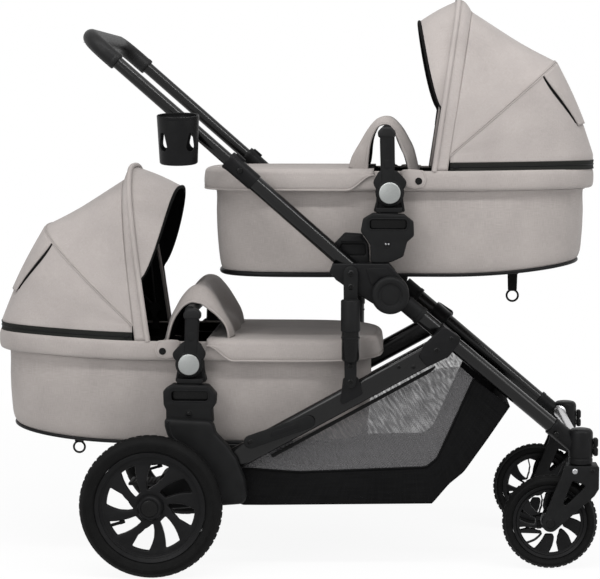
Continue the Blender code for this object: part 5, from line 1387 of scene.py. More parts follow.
@dataclass
class Wheel:
    """Rim with eight twisted spokes, and its tyre."""

    name: str
    centre: Pair
    out: float
    radius: float
    rim_radius: float
    tyre_width: float
    hub_radius: float
    hub_span: Pair
    window_radii: Pair
    phase: float = 0.0
    cap_radius: float = 0.017
    web: float = 0.013
    ring_depth: float = 0.008
    shoulder: float = 0.007
    blocks: int = 58
    valve: bool = False
    capped: bool = False
    petal: tuple = ((0.0, 94, 99), (0.2, 76, 99), (0.5, 66.5, 96), (1.0, 64.5, 87.5))
    straight: tuple = ((0.0, 32.5, 58.5), (1.0, 20, 41))

    def ring_point(self, share: float, degrees: float) -> Pair:
        """X and Z of a point between the windows' two radii, at an angle."""
        radius = self.window_radii[0] + (self.window_radii[1] - self.window_radii[0]) * share
        turn = radians(degrees)
        return self.centre[0] + radius * cos(turn), self.centre[1] + radius * sin(turn)

    def windows(self) -> list[Outline]:
        """Eight openings between the twisted spokes."""
        found = []
        for form in (self.petal, self.straight):
            for quarter in range(0, 360, 90):
                edge = [(share, first) for share, first, _ in form]
                far = [(share, last) for share, _, last in form]
                sides = []
                for line in (edge, far[::-1]):
                    for (share, angle), (next_share, next_angle) in zip(line, line[1:]):
                        sides += [(share + (next_share - share) * k / 4, angle + (next_angle - angle) * k
                            / 4) for k in range(4)]
                    sides.append(line[-1])
                    if line is edge:
                        end = far[-1][1]
                        sides += [(1.0, line[-1][1] + (end - line[-1][1]) * k / 6) for k in range(1, 6)]
                turn = quarter + self.phase
                found.append(rounded([self.ring_point(share, angle + turn) for share, angle in sides],
                    0.0022, 3))
        return found

    def build(self, side: int, word: str) -> None:
        """Build the rim and the tyre on one side.

        Args:
            side: Which side of the pram.
            word: Its name.
        """
        body = f"{self.name}_wheel_{word}"
        rim, half = self.rim_radius, self.tyre_width / 2
        circle = arc(self.centre, rim - self.ring_depth * 0.6, 0, 355, 71)
        shape = Shape().slab([circle, *self.windows()], side, (self.out - self.web / 2,
            self.out + self.web / 2), 0.0026)
        rim_half = half - self.shoulder
        out, foot, inner = self.out, rim - self.ring_depth, self.window_radii[1]
        web = self.web / 2
        shape.disc(side, self.centre, [(rim, out - rim_half), (rim, out + rim_half), (rim - 0.0012,
            out + rim_half + 0.0006), (rim - 0.0024, out + rim_half), (foot, out + rim_half - 0.003),
            (foot, out + web + 0.0024), (foot - 0.002, out + web + 0.001), (foot - 0.0045,
            out + web + 0.001), (foot - 0.0052, out + web + 0.0002), (inner + 0.004, out + web + 0.0002),
            (inner + 0.0028, out + web - 0.0014), (inner + 0.0022, out - web + 0.0014), (inner + 0.0034,
            out - web), (foot, out - web), (foot, out - rim_half + 0.003), (rim - 0.0024, out - rim_half),
            (rim, out - rim_half)], 96)
        self.hub(shape, side)
        if self.valve:
            stem = [self.ring_point(1.0, 206), self.ring_point(0.7, 208), self.ring_point(0.47, 209.5)]
            line = [(x, side * self.out, z) for x, z in stem]
            shape.using(1).pipe(line, 0.0032, resolution=3)
            shape.using(1).pipe([Vector(line[1]).lerp(Vector(line[2]), 0.2), line[2]], 0.0042, resolution=3)
        shape.done(f"{self.name}_rim_{word}_moulded", [SATIN_PLASTIC, RUBBER, GLOSS_PLASTIC], body,
            Slot.PLASTIC, [f"{self.name}_rim_{word}"])
        self.tyre(side, word, body)

    def hub(self, shape: Shape, side: int) -> None:
        """Faceted hub with a domed cap."""
        low, high = self.hub_span
        radius, cap = self.hub_radius, self.cap_radius
        bore = 0.0064
        shape.turned([(bore, low), (radius - 0.001, low), (radius, low + 0.001),
            (radius, self.out + self.web / 2 + 0.002), (radius - 0.003, high - 0.0045), (radius - 0.006,
            high - 0.002), (cap + 0.001, high - 0.002), (cap, high - 0.003), (bore, high - 0.003)],
            (self.centre[0], 0, self.centre[1]), (0, side, 0), 16, closed=True)
        hole = 0.0 if self.capped else bore
        shape.using(2).disc(side, self.centre, [(hole, high - 0.0045), (cap - 0.0012, high - 0.0045),
            (cap - 0.0012, high - 0.0012), (cap - 0.004, high - 0.0003), (bore + 0.002, high),
            (hole, high)], 40)
        shape.using(0)

    def tyre(self, side: int, word: str, body: str) -> None:
        """Tyre with a rounded tread, a raised line on each wall and tread blocks."""
        rim, radius, half, out = self.rim_radius + 0.0003, self.radius, self.tyre_width / 2, self.out
        tread = 0.0018
        section = [(rim, -half + self.shoulder), (rim, half - self.shoulder), (rim + 0.004, half - 0.003),
            (rim + (radius - rim) * 0.42, half), (rim + (radius - rim) * 0.66, half - 0.0015),
            (radius - tread - 0.0035, half - 0.0075), (radius - tread, half - 0.0135), (radius - tread,
            -half + 0.0135), (radius - tread - 0.0035, -half + 0.0075), (rim + (radius - rim) * 0.66,
            -half + 0.0015), (rim + (radius - rim) * 0.42, -half), (rim + 0.004, -half + 0.003)]
        soft = [(r, out + y) for r, y in rounded(section, 0.006, 4)]
        axis_at = (self.centre[0], 0, self.centre[1])
        shape = Shape().turned(soft, axis_at, (0, side, 0), 96, closed=True)
        line = rim + (radius - rim) * 0.5
        for face in (half - 0.0006, -half + 0.0006):
            shape.turned([(line - 0.0009, out + face - 0.0006), (line - 0.0009, out + face + 0.0006),
                (line + 0.0009, out + face + 0.0006), (line + 0.0009, out + face - 0.0006)], axis_at,
                (0, side, 0), 96, closed=True)
        width = self.tyre_width / 2 - 0.0135
        for index in range(self.blocks):
            for row, (share, shift) in enumerate(((-0.62, 0.0), (0.0, 0.5), (0.62, 0.0))):
                turn = 2 * pi * (index + shift) / self.blocks
                pitch = 2 * pi * radius / self.blocks
                place = Matrix.Translation((self.centre[0], side * (out + share * width * 1.35),
                    self.centre[1]))
                spin = Matrix.Rotation(turn, 4, "Y")
                lift = radius - (0.0 if row == 1 else 0.0022)
                size = (pitch * 0.34, width * (0.3 if row == 1 else 0.36))
                shape.block((-size[0], -size[1], lift - 0.0042), (size[0], size[1], lift - 0.0003), 0,
                    place @ spin)
        shape.done(f"{self.name}_tyre_{word}_treaded", [RUBBER], body, Slot.TYRE,
            [f"{self.name}_tyre_{word}"])


@dataclass
class Caster:
    """Swivel fork of a front wheel and the lock lever above it."""

    plate: float = 0.007
    clearance: float = 0.0025
    top: float = 0.2092
    front_x: float = 0.6085

    def build(self, side: int, word: str, wheel: Wheel) -> None:
        """Build the fork and the lever on one side.

        Args:
            side: Which side of the pram.
            word: Its name.
            wheel: The wheel it holds.
        """
        inner = wheel.tyre_width / 2 + self.clearance
        outer = inner + self.plate
        centre = side * LAYOUT.caster_out
        x, z = LAYOUT.front_axle
        outline = [(0.5415, self.top), (0.6065, self.top), (self.front_x, 0.207), (self.front_x, 0.164),
            (0.6, 0.15)]
        outline += arc(LAYOUT.front_axle, 0.0165, -42, -190, 18)
        outline += [(0.527, 0.172), (0.537, 0.195)]
        window = rounded([(0.557, 0.181), (0.584, 0.17), (0.533, 0.119)], 0.004)
        shape = Shape()
        for low, high in ((-outer, -inner), (inner, outer)):
            shape.slab([outline, window], 1, (centre + low, centre + high), 0.002)
        bridge = (centre - inner - 0.003, centre + inner + 0.003)
        shape.block((0.546, bridge[0], 0.1925), (self.front_x - 0.0006, bridge[1], self.top - 0.0004),
            0.002)
        shape.block((0.6018, bridge[0], 0.165), (self.front_x - 0.0006, bridge[1], 0.2), 0.002)
        shape.pipe([(x, bridge[0], z), (x, bridge[1], z)], 0.005, resolution=4)
        stem = (LAYOUT.caster_x, centre, 0)
        shape.turned([(0, self.top - 0.003), (0.009, self.top - 0.003), (0.009, 0.2605), (0.007, 0.2625),
            (0, 0.2625)], stem, steps=32)
        for face in (RIGHT, LEFT):
            out = face * centre + outer
            shape.using(1).rivet(face, (0.561, 0.199), out, 0.0052)
            shape.using(2).rivet(face, (0.595, 0.199), out, 0.0052)
            shape.using(2).disc(face, (x, z), [(0, out - 0.002), (0.0088, out - 0.002),
                (0.0092, out + 0.0002), (0.008, out + 0.0016), (0.004, out + 0.0021), (0, out + 0.0022)],
                32)
        shape.done(f"caster_fork_{word}_moulded", [MATTE_PLASTIC, STEEL, GLOSS_PLASTIC], f"caster_{word}",
            Slot.PLASTIC, [f"caster_fork_{word}"])
        lever = Shape()
        for low, high in ((0.2262, 0.243), (0.244, 0.2618)):
            lever.block((0.5982, centre - 0.0088, low), (0.6078, centre + 0.0088, high), 0.0036)
        lever.block((0.5984, centre - 0.007, 0.23), (0.605, centre + 0.007, 0.258), 0.0012)
        lever.done(f"swivel_lever_{word}", [SATIN_PLASTIC], f"swivel_lock_{word}", Slot.PLASTIC,
            [f"swivel_lock_{word}"])


@dataclass
class Carrycot:
    """One carrycot: u runs from its hub towards the head, z up from its hub."""

    prefix: str
    hub: Pair
    facing: int
    body_half: float = 0.18
    head_straight: float = 0.1165
    foot_straight: float = -0.17
    plan_parts: Pair = (0.39, 0.68)
    tub_parts: Pair = (0.62, 0.7)
    tub_shares: Pair = (0.34, 0.8)
    floor: float = -0.165
    floor_rise: float = 0.024
    rise_u: Pair = (0.1, 0.38)
    rim_top: float = 0.044
    rim_bottom: float = 0.003
    pivot: Pair = (0.1165, 0.0716)
    hood_half: float = 0.19
    rear_crown: Pair = (0.293, 0.0)
    middle_crown: Pair = (0.2155, 0.1862)
    band_rear: Pair = (0.0457, 0.2866)
    band_front: Pair = (0.0171, 0.311)
    visor_tip: Pair = (-0.0573, 0.2665)
    band_drop: float = 0.0308
    band_foot: Pair = (-0.033, -0.0052)
    flap_half: float = 0.168
    flap_curl: tuple = (0.13, 0.5, 0.26)
    head_rise: float = 0.003
    bar_z: float = 0.1215
    bar_u: float = -0.006
    flap_waist: float = 0.2
    ring_drop: float = 0.057
    blend_reach: float = 0.07
    rows: tuple = field(default=((0.1885, 0.402, -0.3655, 0.0402), (0.193, 0.407, -0.37, 0.0412),
        (0.1958, 0.41, -0.3725, 0.0345), (0.1965, 0.4108, -0.373, 0.024), (0.1958, 0.41, -0.3722, 0.011),
        (0.1925, 0.406, -0.369, 0.0035), (0.183, 0.393, -0.357, 0.0015), (0.1802, 0.3895, -0.3535, -0.008),
        (0.1808, 0.39, -0.354, -0.04)))

    def place(self, u: float, y: float, z: float) -> Vector:
        """World place of a point of the carrycot."""
        return Vector((self.hub[0] + self.facing * u, y, self.hub[1] + z))

    def at(self, u: float, z: float) -> Pair:
        """X and Z of a point on the side view."""
        return self.hub[0] + self.facing * u, self.hub[1] + z

    def outline(self, *points: Pair) -> Outline:
        """An outline on the side view, from points measured from the hub."""
        return [self.at(u, z) for u, z in points]

    def body(self, part: str) -> str:
        """A body's name for this carrycot."""
        return f"{self.prefix}_{part}"

    def plan(self, share: float, half: float, head: float, foot: float) -> Pair:
        """A point of the carrycot's plan.

        Args:
            share: From the middle of the head, round the right side and back, from 0 to 1.
            half: Half its width.
            head: Its end at the head.
            foot: Its end at the foot.

        Returns:
            u, and y with the right side negative.
        """
        side = -1 if share <= 0.5 else 1
        turn = 2 * share if share <= 0.5 else 2 - 2 * share
        head_part, foot_part = self.plan_parts
        if turn < head_part:
            along, across = squircle(turn / head_part * pi / 2)
            return self.head_straight + (head - self.head_straight) * along, side * half * across
        if turn < foot_part:
            way = (turn - head_part) / (foot_part - head_part)
            return self.head_straight + (self.foot_straight - self.head_straight) * way, side * half
        along, across = squircle((1 - (turn - foot_part) / (1 - foot_part)) * pi / 2)
        return self.foot_straight + (foot - self.foot_straight) * along, side * half * across

    def pucker(self, across: float) -> float:
        """The small swell of the tub's cloth between its stitches."""
        waves = sin(2 * pi * across * 37) + 0.6 * sin(2 * pi * across * 61 + 1.3)
        return 0.0005 * waves

    def rise_at(self, u: float) -> float:
        """How much the rim rises towards the head."""
        return self.head_rise * smooth((u - 0.08) / 0.3)

    def floor_at(self, u: float) -> float:
        """The outside of the floor, which rises towards the head."""
        share = min(max((u - self.rise_u[0]) / (self.rise_u[1] - self.rise_u[0]), 0), 1)
        return self.floor + self.floor_rise * share * share

    def tub_point(self, across: float, along: float) -> Vector:
        """A point of the tub's cloth, from the rim down the side and under the floor."""
        side_part, turn_part = self.tub_parts
        if along < side_part:
            half, head, foot, z = through(self.rows, along / side_part)
            u, y = self.plan(across, half, head, foot)
            below = smooth((-z - 0.004) / 0.03)
            shift = self.pucker(across) * below
            return self.place(u * (1 + shift * 2), y * (1 + shift * 5), z + self.rise_at(u) * (1 - below))
        if along < turn_part:
            return self.lower_side(across, (along - side_part) / (turn_part - side_part))
        way = (along - turn_part) / (1 - turn_part)
        u, y = self.plan(across, 0.162, 0.369, -0.333)
        spine = min(max(u, -0.18), 0.2)
        u, y = lerp((u, y), (spine, 0.0), way)
        return self.place(u, y, self.floor_at(u) - 0.0015 * sin(pi * way))

    def lower_side(self, across: float, way: float) -> Vector:
        """A point between the skirt's middle and the floor's edge."""
        half, head, foot, top = self.rows[-1]
        u, _ = self.plan(across, half, head, foot)
        low = self.floor_at(u)
        ladder = ((half, head, foot, 0.0), (0.1803, 0.3893, -0.353, 0.3), (0.1788, 0.3878, -0.351, 0.55),
            (0.1768, 0.3858, -0.348, 0.78), (0.1735, 0.3815, -0.3445, 0.92), (0.169, 0.3765, -0.34, 0.985),
            (0.162, 0.369, -0.333, 1.0))
        wide, end, toe, share = through(ladder, way)
        u, y = self.plan(across, wide, end, toe)
        fade = self.pucker(across) * (1 - way)
        return self.place(u * (1 + fade * 2), y * (1 + fade * 5), top + (low - top) * share)

    def build(self) -> None:
        """Build every piece of the carrycot."""
        self.tub()
        self.trim()
        self.brackets()
        self.mattress()
        self.apron()
        self.hood()
        self.band_and_visor()
        self.vent_flap()
        self.carry_handle()
        self.handle_flap()

    def tub(self) -> None:
        """Cloth tub with its black lining."""
        inside = self.place(0, 0, -0.05)
        shape = Shape().cloth(self.tub_even, 240, 64, (2.0, 0.42), inside=inside)
        made = shape.done(f"{self.prefix}_cot_tub", [COT_CLOTH, LINING], self.body("cot"), Slot.COT,
            [f"{self.prefix}_cot_body"], wall=0.0058, lined=True, sharp=70)

    def tub_even(self, across: float, along: float) -> Vector:
        """The tub's cloth with its rows shared out: rim, skirt, floor."""
        (skirt, turned), (side_part, turn_part) = self.tub_shares, self.tub_parts
        if along < skirt:
            return self.tub_point(across, along / skirt * side_part)
        if along < turned:
            way = (along - skirt) / (turned - skirt)
            return self.tub_point(across, side_part + way * (turn_part - side_part))
        return self.tub_point(across, turn_part + (along - turned) / (1 - turned) * (1 - turn_part))

    def ring_line(self, half: float, head: float, foot: float, z: float, start: float, end: float,
            steps: int = 120) -> list[Vector]:
        """Points along the carrycot's plan at one height.

        Args:
            half: Half the plan's width.
            head: Its end at the head.
            foot: Its end at the foot.
            z: The height.
            start: First share of the way round.
            end: Last share.
            steps: How many steps.

        Returns:
            The points.
        """
        found = []
        for step in range(steps + 1):
            u, y = self.plan((start + (end - start) * step / steps) % 1.0, half, head, foot)
            found.append(self.place(u, y, z + self.rise_at(u)))
        return found

    def trim(self) -> None:
        """Tray edge, rim seam, and the tab with its ring."""
        shape = Shape()
        ring = []
        for step in range(240):
            u, y = self.plan(step / 240, 0.1722, 0.3785, -0.3432)
            ring.append(self.place(u, y, self.floor_at(u) + 0.001))
        swell = [1.0 + 0.5 * smooth((abs(step / 120 - 1) - 0.5) / -0.15) for step in range(240)]
        shape.pipe(ring, 0.0034, closed=True, resolution=3, swell=swell)
        shape.done(f"{self.prefix}_cot_tray", [SATIN_PLASTIC], self.body("cot"), Slot.PLASTIC)
        seams = Shape()
        seams.pipe(self.ring_line(0.1831, 0.393, -0.3572, 0.0008, 0.0, 1.0, 239)[:-1], 0.0011, closed=True,
            resolution=2)
        seams.done(f"{self.prefix}_cot_seams", [COT_CLOTH], self.body("cot"), Slot.COT)
        self.ring_tab()

    def ring_tab(self) -> None:
        """Webbing loop under the head end with its metal ring."""
        u, y, z, drop = 0.249, -0.041, self.floor_at(0.249), self.ring_drop
        shape = Shape()
        tab = [self.at(u + a, z + b) for a, b in ((-0.022, 0.004), (0.022, 0.004), (0.02, -0.006),
            (0.01, -0.014), (0.009, 0.01 - drop), (-0.009, 0.01 - drop), (-0.01, -0.014), (-0.02, -0.006))]
        shape.plate(tab, 0.002, 1, (y - 0.0022, y + 0.0022), 0.001)
        centre = self.at(u, z - drop)
        ring = arc(centre, 0.0115, 112, 428, 30)
        shape.using(1).pipe([(x, y, height) for x, height in ring], 0.0022, resolution=3)
        shape.pipe([(x, y, height) for x, height in (ring[0], ring[-1])], 0.0018, resolution=2)
        shape.done(f"{self.prefix}_ring_tab", [WEBBING, GLOSS_PLASTIC], self.body("cot"), Slot.BLACK_CLOTH)

    def brackets(self) -> None:
        """Side brackets with ribs, boss, neck, tongue and pivot pin, and the cloth snap tabs."""
        for side, word in SIDES:
            shape = Shape()
            plate = self.outline((-0.025, 0.02), (0.024, 0.02), (0.0262, -0.016), (0.03, -0.0376),
                (-0.032, -0.0376), (-0.0265, -0.016))
            shape.plate(plate, 0.003, side, (0.174, 0.2085), 0.002)
            shape.disc(side, self.hub, [(0, 0.204), (0.0278, 0.204), (0.028, 0.2115), (0.0268, 0.2132),
                (0.024, 0.2135), (0, 0.2135)])
            for u, lean in ((-0.024, -0.004), (-0.0105, -0.0016), (0.0075, 0.0012), (0.0205, 0.004)):
                rib = [self.at(u, -0.016), self.at(u + 0.0026, -0.016), self.at(u + 0.003 + lean, -0.037),
                    self.at(u - 0.0004 + lean, -0.037)]
                shape.slab([rib], side, (0.2075, 0.2106), 0.001)
            neck = self.outline((-0.0265, -0.0285), (0.024, -0.0285), (0.024, -0.0378), (-0.0265, -0.0378))
            shape.plate(neck, 0.002, side, (0.206, 0.2345), 0.0014)
            tongue = self.outline((-0.018, -0.03), (0.016, -0.03), (0.016, -0.073), (-0.018, -0.073))
            shape.plate(tongue, 0.003, side, (0.223, 0.233), 0.0012)
            shape.disc(side, self.hub, [(0, 0.209), (0.007, 0.209), (0.007, 0.229), (0, 0.229)], 28)
            ear = [self.at(self.pivot[0] - 0.01, 0.0265), self.at(self.pivot[0] + 0.01, 0.0265),
                *arc(self.at(*self.pivot), 0.01, 0, 180, 12)]
            shape.slab([ear], side, (0.1665, 0.173), 0.0014)
            shape.done(f"{self.prefix}_cot_bracket_{word}", [MATTE_PLASTIC], self.body("cot"), Slot.PLASTIC)
            self.snap_tab(side, word)

    def snap_tab(self, side: int, word: str) -> None:
        """Cloth tab over the rim beside the hub, closed with a snap."""
        outline = self.outline((0.018, 0.044), (0.033, 0.01), (0.048, 0.007), (0.066, 0.011),
            (0.072, 0.024), (0.066, 0.043), (0.04, 0.0452))
        out = 0.1945
        shape = Shape().plate(outline, 0.006, side, (out + 0.0012, out + 0.0042), 0.001)
        inner = self.outline((0.021, 0.042), (0.0345, 0.0125), (0.048, 0.0098), (0.064, 0.0132),
            (0.069, 0.0245), (0.064, 0.0408))
        shape.using(1).pipe([(x, side * (out + 0.0041), z) for x, z in rounded(inner, 0.006)], 0.0005,
            resolution=1)
        shape.using(2).disc(side, self.at(0.056, 0.022), [(0, out + 0.003), (0.007, out + 0.003),
            (0.007, out + 0.0048), (0.0058, out + 0.0062), (0.003, out + 0.0066), (0, out + 0.0066)], 32)
        shape.done(f"{self.prefix}_snap_tab_{word}", [HOOD_CLOTH_PAINTED_LIGHT, THREAD, GLOSS_PLASTIC], self.body("cot"),
            Slot.COT)

    def mattress(self) -> None:
        """Padded mattress with a quilted top."""
        half, head, foot = 0.156, 0.357, -0.319
        base = 0.0076

        def skin(across: float, along: float) -> Vector:
            """Underside, wall and top of the pad."""
            ladder = ((0.0, 0.0), (0.9, 0.0), (1.0, 0.22), (1.0, 0.74), (0.93, 1.0), (0.0, 1.08))
            reach, rise = through(ladder, along)
            u, y = self.plan(across, half, head, foot)
            spine = min(max(u, -0.17), 0.19)
            u, y = lerp((spine, 0.0), (u, y), min(reach, 1.0))
            return self.place(u, y, self.floor_at(u) + base + 0.033 * rise)

        shape = Shape().cloth(skin, 120, 48, (1.6, 0.4), inside=self.place(0, 0, self.floor + 0.02))
        mesh = bpy.data.meshes.new("pad")
        shape.mesh.to_mesh(mesh)
        pad = bpy.data.objects.new("pad", mesh)
        bpy.context.scene.collection.objects.link(pad)
        puffed = self.puff(pad)
        result = Shape()
        result.mesh.from_mesh(puffed)
        for corner in result.mesh.verts:
            u = (corner.co.x - self.hub[0]) * self.facing
            top = self.hub[1] + self.floor_at(u) + base + 0.033
            share = smooth((corner.co.z - top + 0.01) / 0.008)
            quilt = abs(sin(pi * (u + corner.co.y) / 0.085) * sin(pi * (u - corner.co.y) / 0.085))
            edge = smooth((half - abs(corner.co.y)) / 0.03)
            corner.co.z -= 0.003 * (1 - min(quilt * 3.2, 1.0)) * share * edge
            corner.co.z = max(corner.co.z, self.hub[1] + self.floor_at(u) + base - 0.0004)
            corner.co.z = min(corner.co.z, top + 0.006)
        bpy.data.objects.remove(pad)
        shape.mesh.free()
        made = result.done(f"{self.prefix}_mattress", [MATTRESS_CLOTH], self.body("cot"), Slot.MATTRESS,
            [f"{self.prefix}_cot_mattress"], sharp=180)

    def puff(self, pad: bpy.types.Object, voxel: float = 0.006, cap: float = 0.006,
            frames: int = 20) -> bpy.types.Mesh:
        """Swell a closed pad with a short cloth simulation.

        Args:
            pad: The pad.
            voxel: The size of its new faces.
            cap: How far a point may move.
            frames: How long the simulation runs.

        Returns:
            The swollen mesh.
        """
        remesh = pad.modifiers.new("remesh", "REMESH")
        remesh.mode = "VOXEL"
        remesh.voxel_size = voxel
        mesh = evaluated(pad)
        pad.modifiers.clear()
        pad.data = mesh
        rest = [corner.co.copy() for corner in mesh.vertices]
        cloth = pad.modifiers.new("cloth", "CLOTH")
        cloth.settings.quality = 4
        cloth.settings.use_pressure = True
        cloth.settings.uniform_pressure_force = 4.0
        cloth.settings.effector_weights.gravity = 0.0
        cloth.point_cache.frame_start = 1
        cloth.point_cache.frame_end = frames
        scene = bpy.context.scene
        for step in range(1, frames + 1):
            scene.frame_set(step)
            bpy.context.view_layer.update()
        swollen = evaluated(pad)
        for corner, start in zip(swollen.vertices, rest):
            move = corner.co - start
            corner.co = start + move * min(1.0, cap / max(move.length, 1e-9))
        scene.frame_set(1)
        return swollen

    def apron(self) -> None:
        """Cover over the foot half with its skirt, hem and top seam."""
        lift = 0.0036
        half, head, foot = 0.1965 + lift, 0.41, -0.3735 - lift
        top = self.rim_top + 0.0012
        roll = 0.0105
        first = self.share_at(-0.0315)

        def sheet(across: float, along: float) -> Vector:
            """Skirt, rounded edge and the top, from side to side round the foot."""
            share = first + (1 - 2 * first) * across
            u, y = self.plan(share, half, head, foot)
            rise = 0.03 * smooth((u + 0.085) / 0.052)
            low = self.rim_bottom + 0.0005 + rise
            skirt = 0.26
            if along < skirt:
                way = along / skirt
                bulge = 0.0015 * sin(pi * way)
                z = low + (top - roll - low) * way
                wide = (half + bulge) / half
                return self.place(self.foot_straight + (u - self.foot_straight) * (
                    wide if u < self.foot_straight else 1), y * wide, z)
            way = (along - skirt) / (1 - skirt)
            spine = min(max(u, -0.205), -0.0315)
            turn_part, turn_in = 0.14, 0.055
            if way < turn_part:
                angle = way / turn_part * pi / 2
                inward, height = turn_in * (1 - cos(angle)), roll * sin(angle)
            else:
                rest = (way - turn_part) / (1 - turn_part)
                inward = turn_in + (1 - turn_in) * rest
                height = roll + 0.0016 * smooth(rest * 1.4) + 0.001 * sin(9 * u) * sin(pi * rest)
            return self.place(u + (spine - u) * inward, y * (1 - inward), top - roll + height)

        inside = self.place(-0.2, 0, 0.0)
        made = Shape().cloth(sheet, 150, 56, (1.0, 0.26), inside=inside).done(f"{self.prefix}_apron_cover",
            [COT_CLOTH, LINING], self.body("cot"), Slot.COT, [f"{self.prefix}_cot_apron"], wall=0.0024,
            lined=True, sharp=75)
        trims = Shape()
        edge = across_at(sheet, 0.37, 260)
        trims.pipe(edge, 0.0008, resolution=2)
        hem = across_at(sheet, 0.03, 500)
        trims.using(1).stitches(hem, inside, 0.0036)
        upper = across_at(sheet, 0.05, 500)
        trims.stitches(upper, inside, 0.0036)
        trims.done(f"{self.prefix}_apron_seams", [COT_CLOTH, THREAD], self.body("cot"), Slot.COT)
        lower = across_at(sheet, 0.004, 260)
        Shape().pipe(lower, 0.0018, resolution=2).done(f"{self.prefix}_apron_hem", [COT_CLOTH],
            self.body("cot"), Slot.COT)

    def share_at(self, u: float) -> float:
        """The share of the way round the plan at a place along the straight side."""
        head_part, foot_part = self.plan_parts
        way = (self.head_straight - u) / (self.head_straight - self.foot_straight)
        return (head_part + (foot_part - head_part) * way) / 2

    def arch(self, foot: Pair, crown: Pair, turn: float, half: float | None = None) -> Vector:
        """A point of an arch over the hood.

        Args:
            foot: The arch's foot, from the pivot.
            crown: Its crown, from the pivot.
            turn: Share of the way from the right foot to the left one.
            half: Half its width, if not the hood's.

        Returns:
            The point.
        """
        across, rise = squircle(pi * (1 - turn))
        u, z = lerp(foot, crown, max(rise, 0.0))
        return self.place(self.pivot[0] + u, (half or self.hood_half) * across, self.pivot[1] + z)

    def hood_bend(self, first: str, second: str, degrees: float) -> Bend:
        """A Bend for a hood panel between two bodies.

        Args:
            first: The body at its rear edge.
            second: The body at its front edge.
            degrees: The slope of the line midway between the two edges.

        Returns:
            The bend.
        """
        turn = radians(degrees)
        normal = Vector((-sin(turn) * self.facing, 0, cos(turn)))
        middle = self.place(self.pivot[0], 0, self.pivot[1])
        return Bend(self.body(first), self.body(second), tuple(middle - normal * self.blend_reach),
            tuple(middle + normal * self.blend_reach))

    def crown(self, first: Pair, last: Pair, share: float, swell: float) -> Pair:
        """A crown between two bows, pushed out where the cloth swells."""
        u, z = lerp(first, last, share)
        length = hypot(u, z)
        grow = 1 + swell * sin(pi * share) / length
        return u * grow, z * grow

    def rear_canopy(self, across: float, along: float, lift: float = 0.0) -> Vector:
        """The rear panel, from the rim up to the middle bow."""
        skirt = 0.1
        base = self.rim_top + 0.0125
        if along < skirt:
            point = self.arch((0.0008, 0.0), self.rear_crown, across)
            way = along / skirt
            base += self.rise_at((point.x - self.hub[0]) * self.facing)
            return Vector((point.x, point.y, self.hub[1] + base + (self.pivot[1] - base) * way))
        share = (along - skirt) / (1 - skirt)
        crown = self.crown(self.rear_crown, self.middle_crown, share, 0.005 + lift)
        point = self.arch((0.0, 0.0), crown, across)
        side = 1 - abs(2 * across - 1)
        fold = 0.0014 * sin(7.0 * share + 3.0) * sin(pi * min(side * 2.2, 1.0)) * sin(pi * share)
        return Vector((point.x, point.y * (1 + fold * 3), point.z + fold))

    def front_canopy(self, across: float, along: float) -> Vector:
        """The front panel, from the middle bow to the band."""
        crown = self.crown(self.middle_crown, self.band_rear, along, -0.0035)
        point = self.arch((0.0, 0.0), crown, across)
        ripple = 0.001 * sin(5.0 * along + 8 * across) * sin(pi * along)
        return Vector((point.x, point.y * (1 + ripple * 3), point.z + ripple))

    def hood(self) -> None:
        """Two canopy panels with their seams, the zip band and the middle bow."""
        heart = self.place(self.pivot[0], 0, self.pivot[1])
        rear_bend = self.hood_bend("cot", "hood_middle", 20.9)
        front_bend = self.hood_bend("hood_middle", "hood_front", 61.3)
        rear = Shape().cloth(self.rear_canopy, 96, 44, (0.8, 0.3), inside=heart).done(
            f"{self.prefix}_canopy_rear_cloth", [HOOD_CLOTH_PAINTED_LIGHT, LINING], rear_bend, Slot.COT,
            [f"{self.prefix}_canopy_rear"], wall=0.002, lined=True, sharp=80)
        front = Shape().cloth(self.front_canopy, 96, 36, (0.8, 0.2), inside=heart).done(
            f"{self.prefix}_canopy_front_cloth", [HOOD_CLOTH_PAINTED_LIGHT, LINING], front_bend, Slot.COT,
            [f"{self.prefix}_canopy_front"], wall=0.002, lined=True, sharp=80)
        seam = Shape()
        line = [self.arch((0, 0), self.middle_crown, step / 160) for step in range(161)]
        for shift in (-0.0016, 0.0018):
            push = Vector((self.facing * shift * 0.7, 0, -shift * 0.7))
            seam.pipe([point + push for point in line], 0.0014, resolution=2)
        seam.done(f"{self.prefix}_hood_seam", [COT_CLOTH], self.body("hood_middle"), Slot.COT)
        bow = [self.arch((0, 0), tuple(v * 0.975 for v in self.middle_crown), step / 60,
            0.183) for step in range(61)]
        Shape().pipe(bow, 0.003, resolution=3).done(f"{self.prefix}_hood_bow", [SATIN_PLASTIC],
            self.body("hood_middle"), Slot.STEEL, [f"{self.prefix}_hood_middle_bow"])
        self.zip_band()

    def zip_band(self) -> None:
        """Black tape with the zip round the hood's foot, and its slider."""
        low, high = self.rim_top - 0.0035, self.rim_top + 0.0135

        def tape(across: float, along: float) -> Vector:
            """The tape, following the rear arch."""
            point = self.arch((0.0008, 0.0), self.rear_crown, across)
            grow = 1.006 - 0.004 * sin(pi * along)
            x = self.hub[0] + self.facing * self.pivot[0]
            z = low + (high - low) * along + self.rise_at((point.x - self.hub[0]) * self.facing)
            return Vector((x + (point.x - x) * grow, point.y * grow, self.hub[1] + z))

        heart = self.place(self.pivot[0], 0, 0.05)
        shape = Shape().cloth(tape, 110, 8, (0.8, 0.017), inside=heart)
        teeth = across_at(tape, 0.52, 200)
        shape.using(1).pipe(teeth, 0.0014, resolution=2)
        end = tape(0.012, 0.52)
        shape.using(1).block(end - Vector((0.006, 0.003, 0.003)), end + Vector((0.006, 0.002, 0.003)),
            0.0012)
        made = shape.done(f"{self.prefix}_zip_band", [ZIP_CLOTH, MATTE_PLASTIC], self.body("cot"),
            Slot.BLACK_CLOTH, wall=0.0012)

